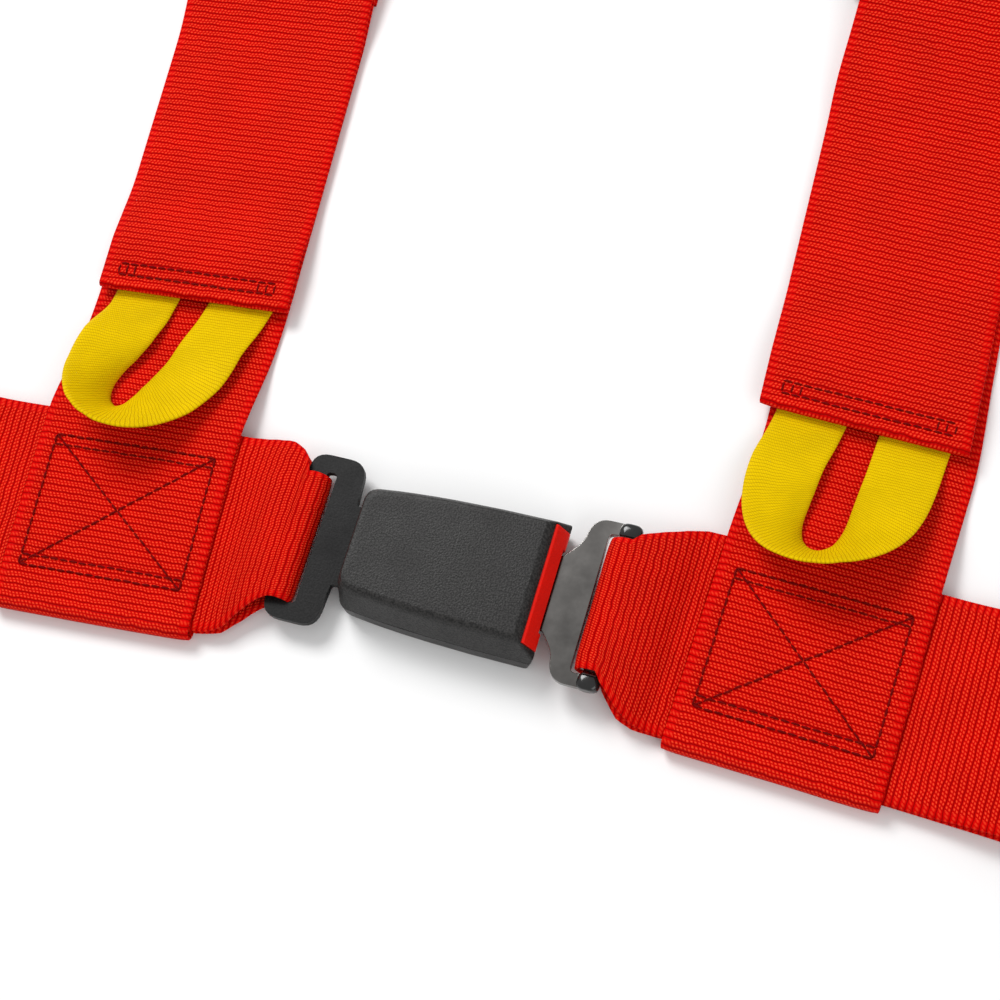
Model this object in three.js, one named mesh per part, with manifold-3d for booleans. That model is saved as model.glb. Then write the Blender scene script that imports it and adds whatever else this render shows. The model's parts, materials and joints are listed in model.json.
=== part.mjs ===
// A four-point racing harness laid out flat: 75 mm webbing, a push-button buckle with its tongue,
// slide adjusters, bolt-in anchor plates and pull loops. Millimetres, +Z up, +X from the anchored
// side of the buckle to the tongue side, +Y towards the shoulder straps. The origin is on the
// ground under the middle of the buckle.
import * as THREE from 'three';
import { mergeVertices } from 'three/addons/utils/BufferGeometryUtils.js';
import Module from 'manifold-3d';

const wasm = await Module();
wasm.setup();

// Clearances
const gap = 0.3; // between faces that touch on the real harness
const swivelGap = 0.4; // between a round bar and the webbing looped round it
const barGap = 0.2; // between a flat bar's corners and the webbing looped round it
const latchGap = 0.25; // between the latch's tooth and the blade under it
const past = 1; // how far a cutting tool runs beyond the face that it cuts
const sunk = 0.5; // how far a raised part is let into the body that it belongs to

// Webbing
const webWidth = 75;
const webThickness = 2;
const layer = webThickness + gap; // pitch of the sewn layers
const gatheredWidth = 48; // width of the lap strap where it is gathered into the buckle slots
const flatBarWidth = 7; // every flat bar that the full-width webbing turns round
const flatBarThickness = 3;
const flatBarReach = Math.hypot(flatBarWidth, flatBarThickness) / 2 + barGap;
const loopRadius = flatBarReach + webThickness / 2; // middle of the webbing's thickness

// The two sewn patches, one for each half of the harness
const halves = [
  { side: 'left', toBuckle: 1, x: -125.8, y: -7.4, yaw: 4.3 },
  { side: 'right', toBuckle: -1, x: 126.2, y: -1.5, yaw: -2.4 },
];
const lapCentre = -0.8; // middle of the lap strap's width, across from the patch centre
const patchReach = webWidth / 2 + 2.5; // where the lap strap leaves the sewn patch

// Buckle body
const buckleBack = -35.5;
const buckleWidthAnchor = 44;
const buckleWidthButton = 52;
const buckleHeight = 24;
const partingHeight = 10;
const coverWall = 2.5;
const coverTaper = 4; // how far the covers' sides lean in towards the top
const coverBevel = 1.4; // softened edge round the top and the underside
const coverCorner = 4.5;
const buckleFront = 38; // furthest point of the button end, at the height of its nose
const noseHeight = 13;
const frontLean = { top: 5, bottom: 4 }; // how far the button end leans back from its nose

// Buckle frame and its slotted anchor end
const plateThickness = flatBarThickness;
const frameBottom = 6.5;
const frameTop = frameBottom + plateThickness;
const anchorEdge = -41; // edge of the anchor end that faces the buckle
const anchorBarWide = 9.5;
const anchorSlotLength = gatheredWidth + 2;
const anchorSpan = anchorSlotLength + 13;
const anchorBarX = -58;
const anchorCorner = 6.5;
const frameWidth = 36;
const frameNeck = 30;
const frameEnd = 20;

// Tongue
const tongueBottom = frameTop + swivelGap;
const tongueTop = tongueBottom + plateThickness;
const tongueSlotLength = gatheredWidth + 3;
const tongueSpan = tongueSlotLength + 9.5;
const tongueNeck = 25;
const tongueTip = -6;
const tongueFlareStart = 37;
const tongueFlare = 8; // how far the blade spreads on each side before the cross plate
const tongueEdge = 44.7;
const tongueCorner = 6;
const tongueBarWide = 6.5;
const tongueBarX = 58.3;
const tongueBarNarrow = 5;
const slotCorner = 1.8;
const sleeveRadius = 4;
const sleeveCentre = tongueBottom + plateThickness / 2;
const sleeveLoop = sleeveRadius + swivelGap + webThickness / 2;
const latchHole = { x: 10, length: 8, width: 12 };

// Release button, latch and ejector
const buttonBack = 24;
const buttonTravel = 5;
const buttonWidth = buckleWidthButton - 2 * (coverWall + 1.6);
const buttonBottom = coverWall + gap;
const buttonTop = buckleHeight - buttonBottom;
const buttonWall = 3;
const buttonSlotGap = 0.7;
const buttonSlot = {
  width: tongueNeck + 3,
  bottom: tongueBottom - buttonSlotGap,
  top: tongueTop + buttonSlotGap,
};
const latchPivotX = -19;
const latchThickness = 2;
const latchBottom = tongueTop + 2 * gap;
const pinHeight = latchBottom + latchThickness / 2;
const latchWidth = 22;
const latchEnd = 18;
const latchBarrel = 3;
const leafThickness = 0.6;
const pinRadius = 1.5;
const earThickness = 2.5;
const earInside = 14;
const earReach = 4;
const earRise = 5;
const ejectorLength = 8;
const ejectorWidth = 18;
const springSide = buttonWidth / 2 - buttonWall + 0.1;
const springBed = springSide - 1.2; // half width of the frame below the button springs
const springSeatWidth = 2.4;
const springSeat = { x: 3, reach: 1, top: 15 };
const springHeight = 12;
const springBack = 10;
const ejectorSpringBack = -31;
const screwX = -27;
const screwSide = 15;
const screwRadius = 1.5;
const screwTop = 18;
const screwHeadRadius = 3;
const screwHead = { bottom: 0.4, top: 1.3 };
const bossRadius = 3.2;
const bossBottom = 12.5;

// Slide adjusters, measured along the strap from their own middle, away from the patch
const adjusterWindow = webWidth + 5;
const adjusterWidth = adjusterWindow + 12;
const adjusterThickness = 2.5;
const adjusterHeight = loopRadius + webThickness / 2 + 0.5; // middle of the frame's thickness
const frontBar = { from: -17 - flatBarWidth, to: -17 };
const rearBar = { from: 14, to: 22 };
const gripRadius = 4;
const gripAlong = 1;
const gripJournal = gripRadius - 1;
const gripRise = 5.6;
const cheekHeight = 9;
const cheekThickness = 3;
const cheekReach = 9;
const shoulderAdjuster = 285;
const lapAdjuster = 115.5;
const frontBarAlong = (frontBar.from + frontBar.to) / 2;

// Bolt-in anchor plates, measured from the middle of their slot bar, away from the patch
const boltPlateThickness = flatBarThickness;
const boltSlotWidth = 7;
const boltEye = 44;
const boltEyeRadius = 16;
const boltHoleRadius = 5.75;
const boltPadRadius = 13;
const boltPadHeight = 0.6;
const shoulderAnchor = 470;
const lapAnchor = 255;
const underReturn = 40; // length of webbing turned back under itself at a flat bar
const rampFoot = 62; // where a strap starts to climb from the ground to a bar, from the bar

// Shoulder straps: sideways shift at the fold-down behind the patch and at the adjuster
const shoulderShift = {
  left: { low: 7, high: 5, tail: 6 },
  right: { low: 0, high: -14, tail: -4 },
};
const tailHem = patchReach + 48; // front of the folded hem, from the patch centre
const hemLength = 18;
const lapTailEnd = lapAnchor - rampFoot - 3; // fold of the lap strap's tail, from the patch centre
const lapHemLength = 12;
const tailSplit = 1.6; // from the grip bar's axis to where the tail leaves the bar
const wrapStart = 50; // where the rear strap's turn round the grip bar begins, in degrees

// Pull loops
const loopWidth = 25;
const loopThickness = 1.5;
const loopLegGap = 12;
const loopTurn = patchReach + 11; // centre of the U-turn, from the patch centre
const loopDraw = 16; // how far the legs draw the ends of the U-turn towards the hem
const loopLean = 70; // how far the webbing stands up at the U-turn, in degrees

const colours = {
  webbing: { color: 0xd2100c, roughness: 0.85, metalness: 0 },
  pull: { color: 0xe6c800, roughness: 0.8, metalness: 0 },
  plastic: { color: 0x2c2c2c, roughness: 0.55, metalness: 0 },
  button: { color: 0xd8281e, roughness: 0.35, metalness: 0 },
  black: { color: 0x232323, roughness: 0.45, metalness: 0.6 },
  chrome: { color: 0xb9b7b3, roughness: 0.2, metalness: 1 },
  steel: { color: 0x9a9a9a, roughness: 0.4, metalness: 1 },
};

const radians = THREE.MathUtils.degToRad;
const harness = new THREE.Group();
harness.name = 'racing_harness';

// ---- Solids -------------------------------------------------------------------------------------

function toManifold(geometry) {
  const bare = geometry.clone();
  bare.deleteAttribute('normal');
  bare.deleteAttribute('uv');
  const merged = mergeVertices(bare, 1e-4);
  return new wasm.Manifold(new wasm.Mesh({
    numProp: 3,
    vertProperties: new Float32Array(merged.attributes.position.array),
    triVerts: new Uint32Array(merged.index.array),
  }));
}

function toGeometry(manifold) {
  const mesh = manifold.getMesh();
  const geometry = new THREE.BufferGeometry();
  geometry.setAttribute('position', new THREE.BufferAttribute(new Float32Array(mesh.vertProperties), 3));
  geometry.setIndex(new THREE.BufferAttribute(new Uint32Array(mesh.triVerts), 1));
  geometry.computeVertexNormals();
  return geometry;
}

const join = (first, ...others) =>
  toGeometry(others.reduce((sum, other) => sum.add(toManifold(other)), toManifold(first)));

const cut = (first, ...tools) =>
  toGeometry(tools.reduce((rest, tool) => rest.subtract(toManifold(tool)), toManifold(first)));

function block(x0, x1, y0, y1, z0, z1) {
  const box = new THREE.BoxGeometry(x1 - x0, y1 - y0, z1 - z0);
  return box.translate((x0 + x1) / 2, (y0 + y1) / 2, (z0 + z1) / 2);
}

function rod(radius, from, to, centre, axis, sides = 20) {
  const cylinder = new THREE.CylinderGeometry(radius, radius, to - from, sides);
  if (axis === 'x') cylinder.rotateZ(-Math.PI / 2);
  if (axis === 'z') cylinder.rotateX(Math.PI / 2);
  const middle = (from + to) / 2;
  const place = { x: [middle, ...centre], y: [centre[0], middle, centre[1]], z: [...centre, middle] };
  return cylinder.translate(...place[axis]);
}

function slab(shape, bottom, top, curveSegments = 6) {
  const depth = top - bottom;
  const geometry = new THREE.ExtrudeGeometry(shape, { depth, bevelEnabled: false, curveSegments });
  return geometry.translate(0, 0, bottom);
}

// An outline through the given corners, each rounded by its own radius.
function rounded(corners) {
  const shape = new THREE.Shape();
  const count = corners.length;
  corners.forEach(([x, y, radius = 0], index) => {
    const corner = new THREE.Vector2(x, y);
    const before = new THREE.Vector2(...corners[(index + count - 1) % count]).sub(corner);
    const after = new THREE.Vector2(...corners[(index + 1) % count]).sub(corner);
    const start = corner.clone().add(before.setLength(radius));
    const end = corner.clone().add(after.setLength(radius));
    if (index === 0) shape.moveTo(start.x, start.y);
    else shape.lineTo(start.x, start.y);
    if (radius > 0) shape.quadraticCurveTo(x, y, end.x, end.y);
  });
  shape.closePath();
  return shape;
}

function roundedBox(x0, x1, y0, y1, radius) {
  return rounded([[x0, y0, radius], [x1, y0, radius], [x1, y1, radius], [x0, y1, radius]]);
}

// A coil spring along X: the wire is swept round the coil with closed ends.
function coil(from, to, centre, coilRadius, wireRadius, turns) {
  const steps = turns * 8;
  const points = [];
  for (let step = 0; step <= steps; step++) {
    const turn = (step / 8) * 2 * Math.PI;
    const x = from + wireRadius + (to - from - 2 * wireRadius) * (step / steps);
    const y = centre[0] + coilRadius * Math.cos(turn);
    points.push(new THREE.Vector3(x, y, centre[1] + coilRadius * Math.sin(turn)));
  }
  const wire = new THREE.Shape();
  wire.absarc(0, 0, wireRadius, 0, 2 * Math.PI, false);
  const extrudePath = new THREE.CatmullRomCurve3(points);
  return new THREE.ExtrudeGeometry(wire, { extrudePath, steps, curveSegments: 2, bevelEnabled: false });
}

function place(parent, name, geometry, finish) {
  const mesh = new THREE.Mesh(geometry, new THREE.MeshStandardMaterial(colours[finish]));
  mesh.name = name;
  parent.add(mesh);
  return mesh;
}

// ---- Webbing ------------------------------------------------------------------------------------

// A closed band of webbing through a list of stations, each with its centre, the direction
// across the webbing and the width there.
function band(stations, thickness) {
  const positions = [];
  const index = [];
  stations.forEach(({ centre, across, width }, at) => {
    const before = stations[Math.max(at - 1, 0)].centre;
    const after = stations[Math.min(at + 1, stations.length - 1)].centre;
    const along = after.clone().sub(before);
    const half = across.clone().multiplyScalar(width / 2);
    const up = new THREE.Vector3().crossVectors(along, across).setLength(thickness / 2);
    for (const [sideways, height] of [[-1, 1], [1, 1], [1, -1], [-1, -1]]) {
      positions.push(...centre.clone().addScaledVector(half, sideways).addScaledVector(up, height).toArray());
    }
  });
  const quad = (a, b, c, d) => index.push(a, b, c, a, c, d);
  for (let at = 0; at < stations.length - 1; at++) {
    for (let corner = 0; corner < 4; corner++) {
      const next = (corner + 1) % 4;
      quad(at * 4 + corner, at * 4 + 4 + corner, at * 4 + 4 + next, at * 4 + next);
    }
  }
  const last = (stations.length - 1) * 4;
  quad(0, 1, 2, 3);
  quad(last + 3, last + 2, last + 1, last);
  return closed(positions, index);
}

// Geometry with its faces turned outwards, whichever way they were listed.
function closed(positions, index) {
  const geometry = new THREE.BufferGeometry();
  geometry.setAttribute('position', new THREE.Float32BufferAttribute(positions, 3));
  geometry.setIndex(index);
  if (signedVolume(geometry) < 0) index.reverse();
  geometry.setIndex(index);
  geometry.computeVertexNormals();
  return geometry;
}

function signedVolume(geometry) {
  const { position } = geometry.attributes;
  const corner = [0, 1, 2].map(() => new THREE.Vector3());
  let volume = 0;
  for (let at = 0; at < geometry.index.count; at += 3) {
    corner.forEach((point, k) => point.fromBufferAttribute(position, geometry.index.getX(at + k)));
    volume += corner[0].dot(corner[1].clone().cross(corner[2])) / 6;
  }
  return volume;
}

// Points [along, height] on an arc, angles in degrees from the outward direction of the strap.
function arc(along, height, radius, from, to, steps = 8) {
  const points = [];
  for (let step = 0; step <= steps; step++) {
    const angle = radians(from + ((to - from) * step) / steps);
    points.push([along + radius * Math.cos(angle), height + radius * Math.sin(angle)]);
  }
  return points;
}

// Value of a table of [position, value] pairs, straight between them.
function between(table, at) {
  const next = table.findIndex(([position]) => position >= at);
  if (next === 0) return table[0][1];
  if (next < 0) return table[table.length - 1][1];
  const [[from, low], [to, high]] = [table[next - 1], table[next]];
  return low + ((high - low) * (at - from)) / (to - from);
}

// ---- Buckle -------------------------------------------------------------------------------------

// Where the button end lies at a height: it leans back above and below its nose.
function frontAt(height) {
  const top = buckleHeight - noseHeight;
  const lean = height > noseHeight
    ? (frontLean.top * (height - noseHeight)) / top
    : (frontLean.bottom * (noseHeight - height)) / noseHeight;
  return buckleFront - lean;
}

// Plan of the covers at a height, drawn in by a margin all round. The sides bow outwards.
function coverPlan(height, margin) {
  const rise = Math.max(height - partingHeight, 0) / (buckleHeight - partingHeight);
  const sides = coverTaper * rise + margin;
  const x0 = buckleBack + margin + sides / 4;
  const x1 = frontAt(height) - margin;
  const narrow = buckleWidthAnchor / 2 - sides;
  const wide = buckleWidthButton / 2 - sides;
  const bow = { x: x0 + (x1 - x0) * 0.4, y: wide };
  const shape = new THREE.Shape();
  shape.moveTo(x1, -wide + 1);
  shape.quadraticCurveTo(x1, -wide, x1 - 1, -wide);
  shape.quadraticCurveTo(bow.x, -bow.y, x0 + coverCorner, -narrow - 0.8);
  shape.quadraticCurveTo(x0, -narrow, x0, coverCorner - narrow);
  shape.lineTo(x0, narrow - coverCorner);
  shape.quadraticCurveTo(x0, narrow, x0 + coverCorner, narrow + 0.8);
  shape.quadraticCurveTo(bow.x, bow.y, x1 - 1, wide);
  shape.quadraticCurveTo(x1, wide, x1, wide - 1);
  return shape.getPoints(8).map((point) => [point.x, point.y, height]);
}

// A closed body through plans stacked upwards, all with the same number of points.
function loft(plans) {
  const count = plans[0].length;
  const index = [];
  for (let level = 0; level < plans.length - 1; level++) {
    for (let at = 0; at < count; at++) {
      const [low, next] = [level * count + at, level * count + ((at + 1) % count)];
      index.push(low, next, low + count, next, next + count, low + count);
    }
  }
  const caps = THREE.ShapeUtils.triangulateShape(plans[0].map(([x, y]) => new THREE.Vector2(x, y)), []);
  const last = (plans.length - 1) * count;
  caps.forEach(([a, b, c]) => index.push(a, b, c, last + c, last + b, last + a));
  return closed(plans.flat(2), index);
}

// One cover: a lofted shell from the parting line to its outer face, open at the button end.
function cover(parting, outer) {
  const outward = Math.sign(outer - parting);
  const upwards = (plans) => (outward > 0 ? plans : plans.reverse());
  const levels = [
    [parting, 0], [outer - outward * (coverBevel + 2), 0], [outer - outward * coverBevel, 0.35],
    [outer - (outward * coverBevel) / 3, coverBevel * 0.6], [outer, coverBevel * 1.5],
  ];
  if (outward > 0) levels.splice(1, 0, [noseHeight, 0]);
  const shell = loft(upwards(levels.map(([height, margin]) => coverPlan(height, margin))));
  const hollow = [parting - outward * past, outer - outward * coverWall].sort((a, b) => a - b);
  const inside = loft(hollow.map((height) => coverPlan(height, coverWall)));
  const mouthHalf = buttonWidth / 2 + gap;
  const mouthBack = buttonBack - buttonTravel - gap;
  const mouth = block(mouthBack, buckleFront + past, -mouthHalf, mouthHalf, ...hollow);
  return cut(shell, inside, mouth);
}

const screwSides = [-screwSide, screwSide];

function bottomCover() {
  const neck = frameNeck / 2 + gap;
  const notch = block(buckleBack - past, buckleBack + 2 * coverWall, -neck, neck,
    frameBottom - gap, partingHeight + past);
  const holes = screwSides.flatMap((y) => [
    rod(screwRadius + gap, -past, coverWall + past, [screwX, y], 'z'),
    rod(screwHeadRadius + gap, -past, screwHead.top + gap, [screwX, y], 'z'),
  ]);
  return cut(cover(partingHeight - gap / 2, 0), notch, ...holes);
}

function topCover() {
  const shell = cover(partingHeight + gap / 2, buckleHeight);
  const bosses = screwSides.map((y) =>
    rod(bossRadius, bossBottom, buckleHeight - coverWall + sunk, [screwX, y], 'z'));
  const holes = screwSides.map((y) =>
    rod(screwRadius + gap, bossBottom - past, screwTop + sunk, [screwX, y], 'z'));
  return cut(join(shell, ...bosses), ...holes);
}

function screw(y) {
  const head = rod(screwHeadRadius, screwHead.bottom, screwHead.top, [screwX, y], 'z');
  const shank = rod(screwRadius, screwHead.top - sunk, screwTop, [screwX, y], 'z', 16);
  return join(head, shank);
}

// Stamped frame: the slotted anchor end outside the covers, the neck, and the bed inside them.
function buckleFrame() {
  const end = anchorBarX - flatBarWidth / 2;
  const span = anchorSpan / 2;
  const neck = frameNeck / 2;
  const bed = frameWidth / 2;
  const bedBack = buckleBack + 2 * coverWall;
  const seatBack = springSeat.x - springSeat.reach;
  const plate = slab(rounded([
    [end, -span, anchorCorner], [anchorEdge, -span, anchorCorner], [anchorEdge + 1, -neck, 1],
    [bedBack - 1, -neck], [bedBack, -bed, 1], [seatBack, -springBed], [frameEnd, -springBed, 2],
    [frameEnd, springBed, 2], [seatBack, springBed], [bedBack, bed, 1], [bedBack - 1, neck],
    [anchorEdge + 1, neck, 1], [anchorEdge, span, anchorCorner], [end, span, anchorCorner],
  ]), frameBottom, frameTop);
  const slotHalf = anchorSlotLength / 2;
  const slot = slab(roundedBox(anchorBarX + flatBarWidth / 2, anchorEdge - anchorBarWide,
    -slotHalf, slotHalf, slotCorner), frameBottom - past, frameTop + past);
  const holes = screwSides.map((y) =>
    rod(screwRadius + gap, frameBottom - past, frameTop + past, [screwX, y], 'z'));
  const standing = (hand, inside, thickness, x, reach, top) => {
    const sides = [hand * inside, hand * (inside + thickness)].sort((a, b) => a - b);
    return block(x - reach, x + reach, ...sides, frameTop - sunk, top);
  };
  const ears = [-1, 1].map((hand) =>
    standing(hand, earInside, earThickness, latchPivotX, earReach, latchBottom + earRise));
  const seats = [-1, 1].map((hand) =>
    standing(hand, springBed - springSeatWidth, springSeatWidth, springSeat.x, springSeat.reach,
      springSeat.top));
  const earOutside = earInside + earThickness + past;
  const pivotHoles = rod(pinRadius + gap, -earOutside, earOutside, [latchPivotX, pinHeight], 'y');
  return cut(join(plate, ...ears, ...seats), slot, pivotHoles, ...holes);
}

// Tongue: a narrow blade with the latch hole, flaring to a slotted cross plate.
function tongue() {
  const half = tongueNeck / 2;
  const tip = half - 3;
  const span = tongueSpan / 2;
  const end = tongueBarX + tongueBarNarrow / 2;
  const flare = half + tongueFlare;
  const flareEnd = tongueEdge - 1.5;
  const blade = [
    [tongueTip, -tip, 1], [tongueTip + 4, -half, 2], [tongueFlareStart, -half, 4],
    [flareEnd, -flare, 3], [tongueEdge, -span, tongueCorner], [end, -span, tongueCorner],
  ];
  const mirrored = blade.map(([x, y, radius]) => [x, -y, radius]).reverse();
  const slotHalf = tongueSlotLength / 2;
  const slot = slab(roundedBox(tongueEdge + tongueBarWide, tongueBarX - tongueBarNarrow / 2,
    -slotHalf, slotHalf, slotCorner), tongueBottom - past, tongueTop + past);
  const { x, length, width } = latchHole;
  const hole = slab(roundedBox(x - length / 2, x + length / 2, -width / 2, width / 2, 1),
    tongueBottom - past, tongueTop + past);
  return cut(slab(rounded([...blade, ...mirrored]), tongueBottom, tongueTop), slot, hole);
}

// Plastic sleeve on the tongue's webbing bar.
function tongueSleeve() {
  const half = tongueSlotLength / 2 - slotCorner - gap;
  const round = rod(sleeveRadius, -half, half, [tongueBarX, sleeveCentre], 'y', 16);
  const reach = tongueBarNarrow / 2 + gap;
  const rise = plateThickness / 2 + gap;
  const core = block(tongueBarX - reach, tongueBarX + reach, -half - past, half + past,
    sleeveCentre - rise, sleeveCentre + rise);
  return cut(round, core);
}

// Push button: a cap across the whole mouth, bevelled at its face, with the tongue's slot.
function button() {
  const half = buttonWidth / 2;
  const nose = frontAt(noseHeight) + 0.3;
  const profile = rounded([
    [buttonBack, buttonBottom], [frontAt(buttonBottom) - 1, buttonBottom, 1], [nose, noseHeight, 1.5],
    [frontAt(buttonTop) + 0.6, buttonTop, 0.6], [buttonBack, buttonTop],
  ]);
  const body = slab(profile, -half, half, 3).rotateX(Math.PI / 2);
  const { width, bottom, top } = buttonSlot;
  const slotHalf = width / 2;
  const inside = half - buttonWall;
  const slot = block(buttonBack - past, nose + past, -slotHalf, slotHalf, bottom, top);
  const relief = block(buttonBack - past, nose - 6, -inside, inside,
    buttonBottom + buttonWall, buttonTop - buttonWall);
  const scoop = block(nose - 3, nose + past, -slotHalf - 1.5, slotHalf + 1.5, bottom - 6, top + 1);
  return cut(body, slot, relief, scoop);
}

function latch() {
  const half = latchWidth / 2;
  const top = latchBottom + latchThickness;
  const plate = block(latchPivotX - latchBarrel, latchEnd, -half, half, latchBottom, top);
  const toothReach = latchHole.length / 2 - 1.4;
  const toothHalf = latchHole.width / 2 - 1;
  const tooth = block(latchHole.x - toothReach, latchHole.x + toothReach, -toothHalf, toothHalf,
    tongueTop + latchGap, top - sunk);
  const pivot = rod(latchBarrel, -half, half, [latchPivotX, pinHeight], 'y', 16);
  const bore = rod(pinRadius + gap, -half - past, half + past, [latchPivotX, pinHeight], 'y', 16);
  const springRelief = block(latchPivotX - 2 * latchBarrel, latchPivotX + 2 * latchBarrel, -2.4, 2.4,
    tongueBottom, latchBottom - barGap);
  return cut(join(plate, tooth, pivot), bore, springRelief);
}

function buildBuckle() {
  place(harness, 'buckle_bottom_cover', bottomCover(), 'plastic');
  place(harness, 'buckle_top_cover', topCover(), 'plastic');
  place(harness, 'buckle_frame', buckleFrame(), 'black');
  screwSides.forEach((y, at) => place(harness, `cover_screw_${at + 1}`, screw(y), 'steel'));
  place(harness, 'release_button', button(), 'button');
  place(harness, 'latch_plate', latch(), 'steel');
  const pinHalf = earInside + earThickness;
  const pin = rod(pinRadius, -pinHalf, pinHalf, [latchPivotX, pinHeight], 'y', 16);
  place(harness, 'latch_pin', pin, 'steel');

  const ejectorFront = tongueTip - swivelGap;
  const ejectorBack = ejectorFront - ejectorLength;
  const half = ejectorWidth / 2;
  const ejector = block(ejectorBack, ejectorFront, -half, half, tongueBottom, tongueTop - swivelGap);
  place(harness, 'ejector', ejector, 'plastic');
  const pushSpring = coil(ejectorSpringBack, ejectorBack - gap, [0, sleeveCentre - barGap], 0.9, 0.35, 7);
  place(harness, 'ejector_spring', pushSpring, 'steel');
  [-1, 1].forEach((hand, at) => {
    const spring = coil(springBack, buttonBack - gap, [hand * springSide, springHeight], 2.2, 0.45, 6);
    place(harness, `button_spring_${at + 1}`, spring, 'steel');
  });
  const leafBottom = pinHeight + latchBarrel + gap;
  const leaf = block(latchPivotX - 2, 0, -4, 4, leafBottom, leafBottom + leafThickness);
  place(harness, 'latch_spring', leaf, 'steel');
  place(harness, 'tongue_plate', tongue(), 'chrome');
  place(harness, 'tongue_bar_sleeve', tongueSleeve(), 'plastic');
}

// ---- Straps -------------------------------------------------------------------------------------

// Stations of a strap that runs along Y in its half's group, webbing across X.
function alongStations(points, shift) {
  return points.map(([along, height]) => ({
    centre: new THREE.Vector3(between(shift, along), along, height),
    across: new THREE.Vector3(1, 0, 0),
    width: webWidth,
  }));
}

const ground = webThickness / 2; // heights of the sewn layers' middles at the patch, from below
const lapReturn = ground + layer;
const lapMain = lapReturn + layer;
const shoulderFront = lapMain + layer;

const gripHeight = adjusterHeight + gripRise;
const gripWrap = gripRadius + gap + webThickness / 2;
const gripTop = gripHeight + gripWrap;

// The lap strap is one closed run: round the buckle's bar, along the top of the patch, round the
// adjuster's front bar and back under the patch, where its two ends meet.
function lapStrap(half) {
  const isLeft = half.toBuckle > 0;
  const yaw = radians(half.yaw);
  const along = new THREE.Vector3(Math.cos(yaw), Math.sin(yaw), 0).multiplyScalar(half.toBuckle);
  const across = new THREE.Vector3(-Math.sin(yaw), Math.cos(yaw), 0);
  const middle = new THREE.Vector3(half.x, half.y, 0).addScaledVector(across, lapCentre);
  const leave = middle.clone().addScaledVector(along, patchReach);
  const bar = new THREE.Vector3(isLeft ? anchorBarX : tongueBarX, 0, 0);
  const barHeight = isLeft ? frameBottom + plateThickness / 2 : sleeveCentre;
  const radius = isLeft ? loopRadius : sleeveLoop;
  const reach = leave.distanceTo(bar);
  const barAt = patchReach + reach;
  const fixedBar = -lapAdjuster - frontBarAlong;

  const gathered = barAt - radius - 3;
  const halfway = (patchReach + gathered) / 2;
  const outerHalfway = (fixedBar - patchReach) / 2;
  const width = [
    [patchReach, webWidth], [patchReach + reach * 0.35, webWidth - 6], [gathered, gatheredWidth],
  ];
  const points = [
    [1, lapReturn], [patchReach, lapReturn], [halfway, (lapReturn + barHeight - radius) / 2],
    [gathered, barHeight - radius],
    ...arc(barAt, barHeight, radius, -90, 90),
    [gathered, barHeight + radius - 0.4], [halfway, (lapMain + barHeight + radius) / 2 - 0.6],
    [patchReach, lapMain], [-patchReach, lapMain],
    [outerHalfway, (lapMain + adjusterHeight + loopRadius) / 2],
    ...arc(fixedBar, adjusterHeight, loopRadius, 90, 270),
    [outerHalfway, (lapReturn + adjusterHeight - loopRadius) / 2],
    [-patchReach, lapReturn], [-1, lapReturn],
  ];
  const stations = points.map(([at, height]) => {
    if (at <= patchReach) {
      return { centre: middle.clone().addScaledVector(along, at).setZ(height), across, width: webWidth };
    }
    const share = Math.min((at - patchReach) / reach, 1);
    const centre = leave.clone().lerp(bar, share).setZ(height);
    centre.x += half.toBuckle * Math.max(at - barAt, 0);
    const turned = across.clone().lerp(new THREE.Vector3(0, 1, 0), Math.min(share * 1.4, 1)).normalize();
    return { centre, across: turned, width: between(width, at) };
  });
  return band(stations, webThickness);
}

// The last stretch of a strap: up from the ground, round a flat bar and back under itself.
function roundBar(bar) {
  return [
    [bar - rampFoot, ground], [bar - 46, lapReturn + 0.1], [bar - 22, lapReturn + 2.9],
    [bar - 6, adjusterHeight + loopRadius - 0.8],
    ...arc(bar, adjusterHeight, loopRadius, 90, -90),
    [bar - underReturn / 2, ground + 0.2], [bar - underReturn, ground],
  ];
}

// Lower shoulder strap: its end lies behind the patch, it folds round the lap strap's lower edge,
// runs up over the patch and on to the adjuster's front bar, and returns under itself.
function shoulderLowerStrap(shifts) {
  const foldAt = lapCentre - webWidth / 2 + 0.7;
  const bar = shoulderAdjuster + frontBarAlong;
  const points = [
    [patchReach - 7, ground],
    ...arc(foldAt, (shoulderFront + ground) / 2, (shoulderFront - ground) / 2, 270, 90),
    [patchReach - 2, shoulderFront], [patchReach + 8, shoulderFront - 1.8],
    [patchReach + 20, ground + 2.2], [patchReach + 28, ground + 0.5], [patchReach + 38, ground],
    ...roundBar(bar),
  ];
  const shift = [[patchReach, 0], [2 * patchReach, shifts.low], [bar - underReturn, shifts.high]];
  return band(alongStations(points, shift), webThickness);
}

// Rear strap: over the grip bar, down through the window, under the rear bar and back to the
// bolt-in plate. It starts on the grip bar, after any tail that lies forward of the bar.
function rearStrap(gripAt, anchor, offset, tail) {
  const rear = gripAt - gripAlong + rearBar.from;
  const start = tail
    ? [...tail, ...arc(gripAt, gripHeight, gripWrap, 90, 270, 10), [rear - 2, ground + 2.6]]
    : [
      ...arc(gripAt, gripHeight, gripWrap, wrapStart, 0, 4),
      [rear - 5.6, ground + 5.6], [rear - 3, ground + 3],
    ];
  const points = [
    ...start, [rear, ground + 2.1], [rear + 8, ground + 1.8], [rear + 20, ground + 0.4],
    [rear + 30, ground], ...roundBar(anchor),
  ];
  return band(alongStations(points, [[0, offset]]), webThickness);
}

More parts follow.
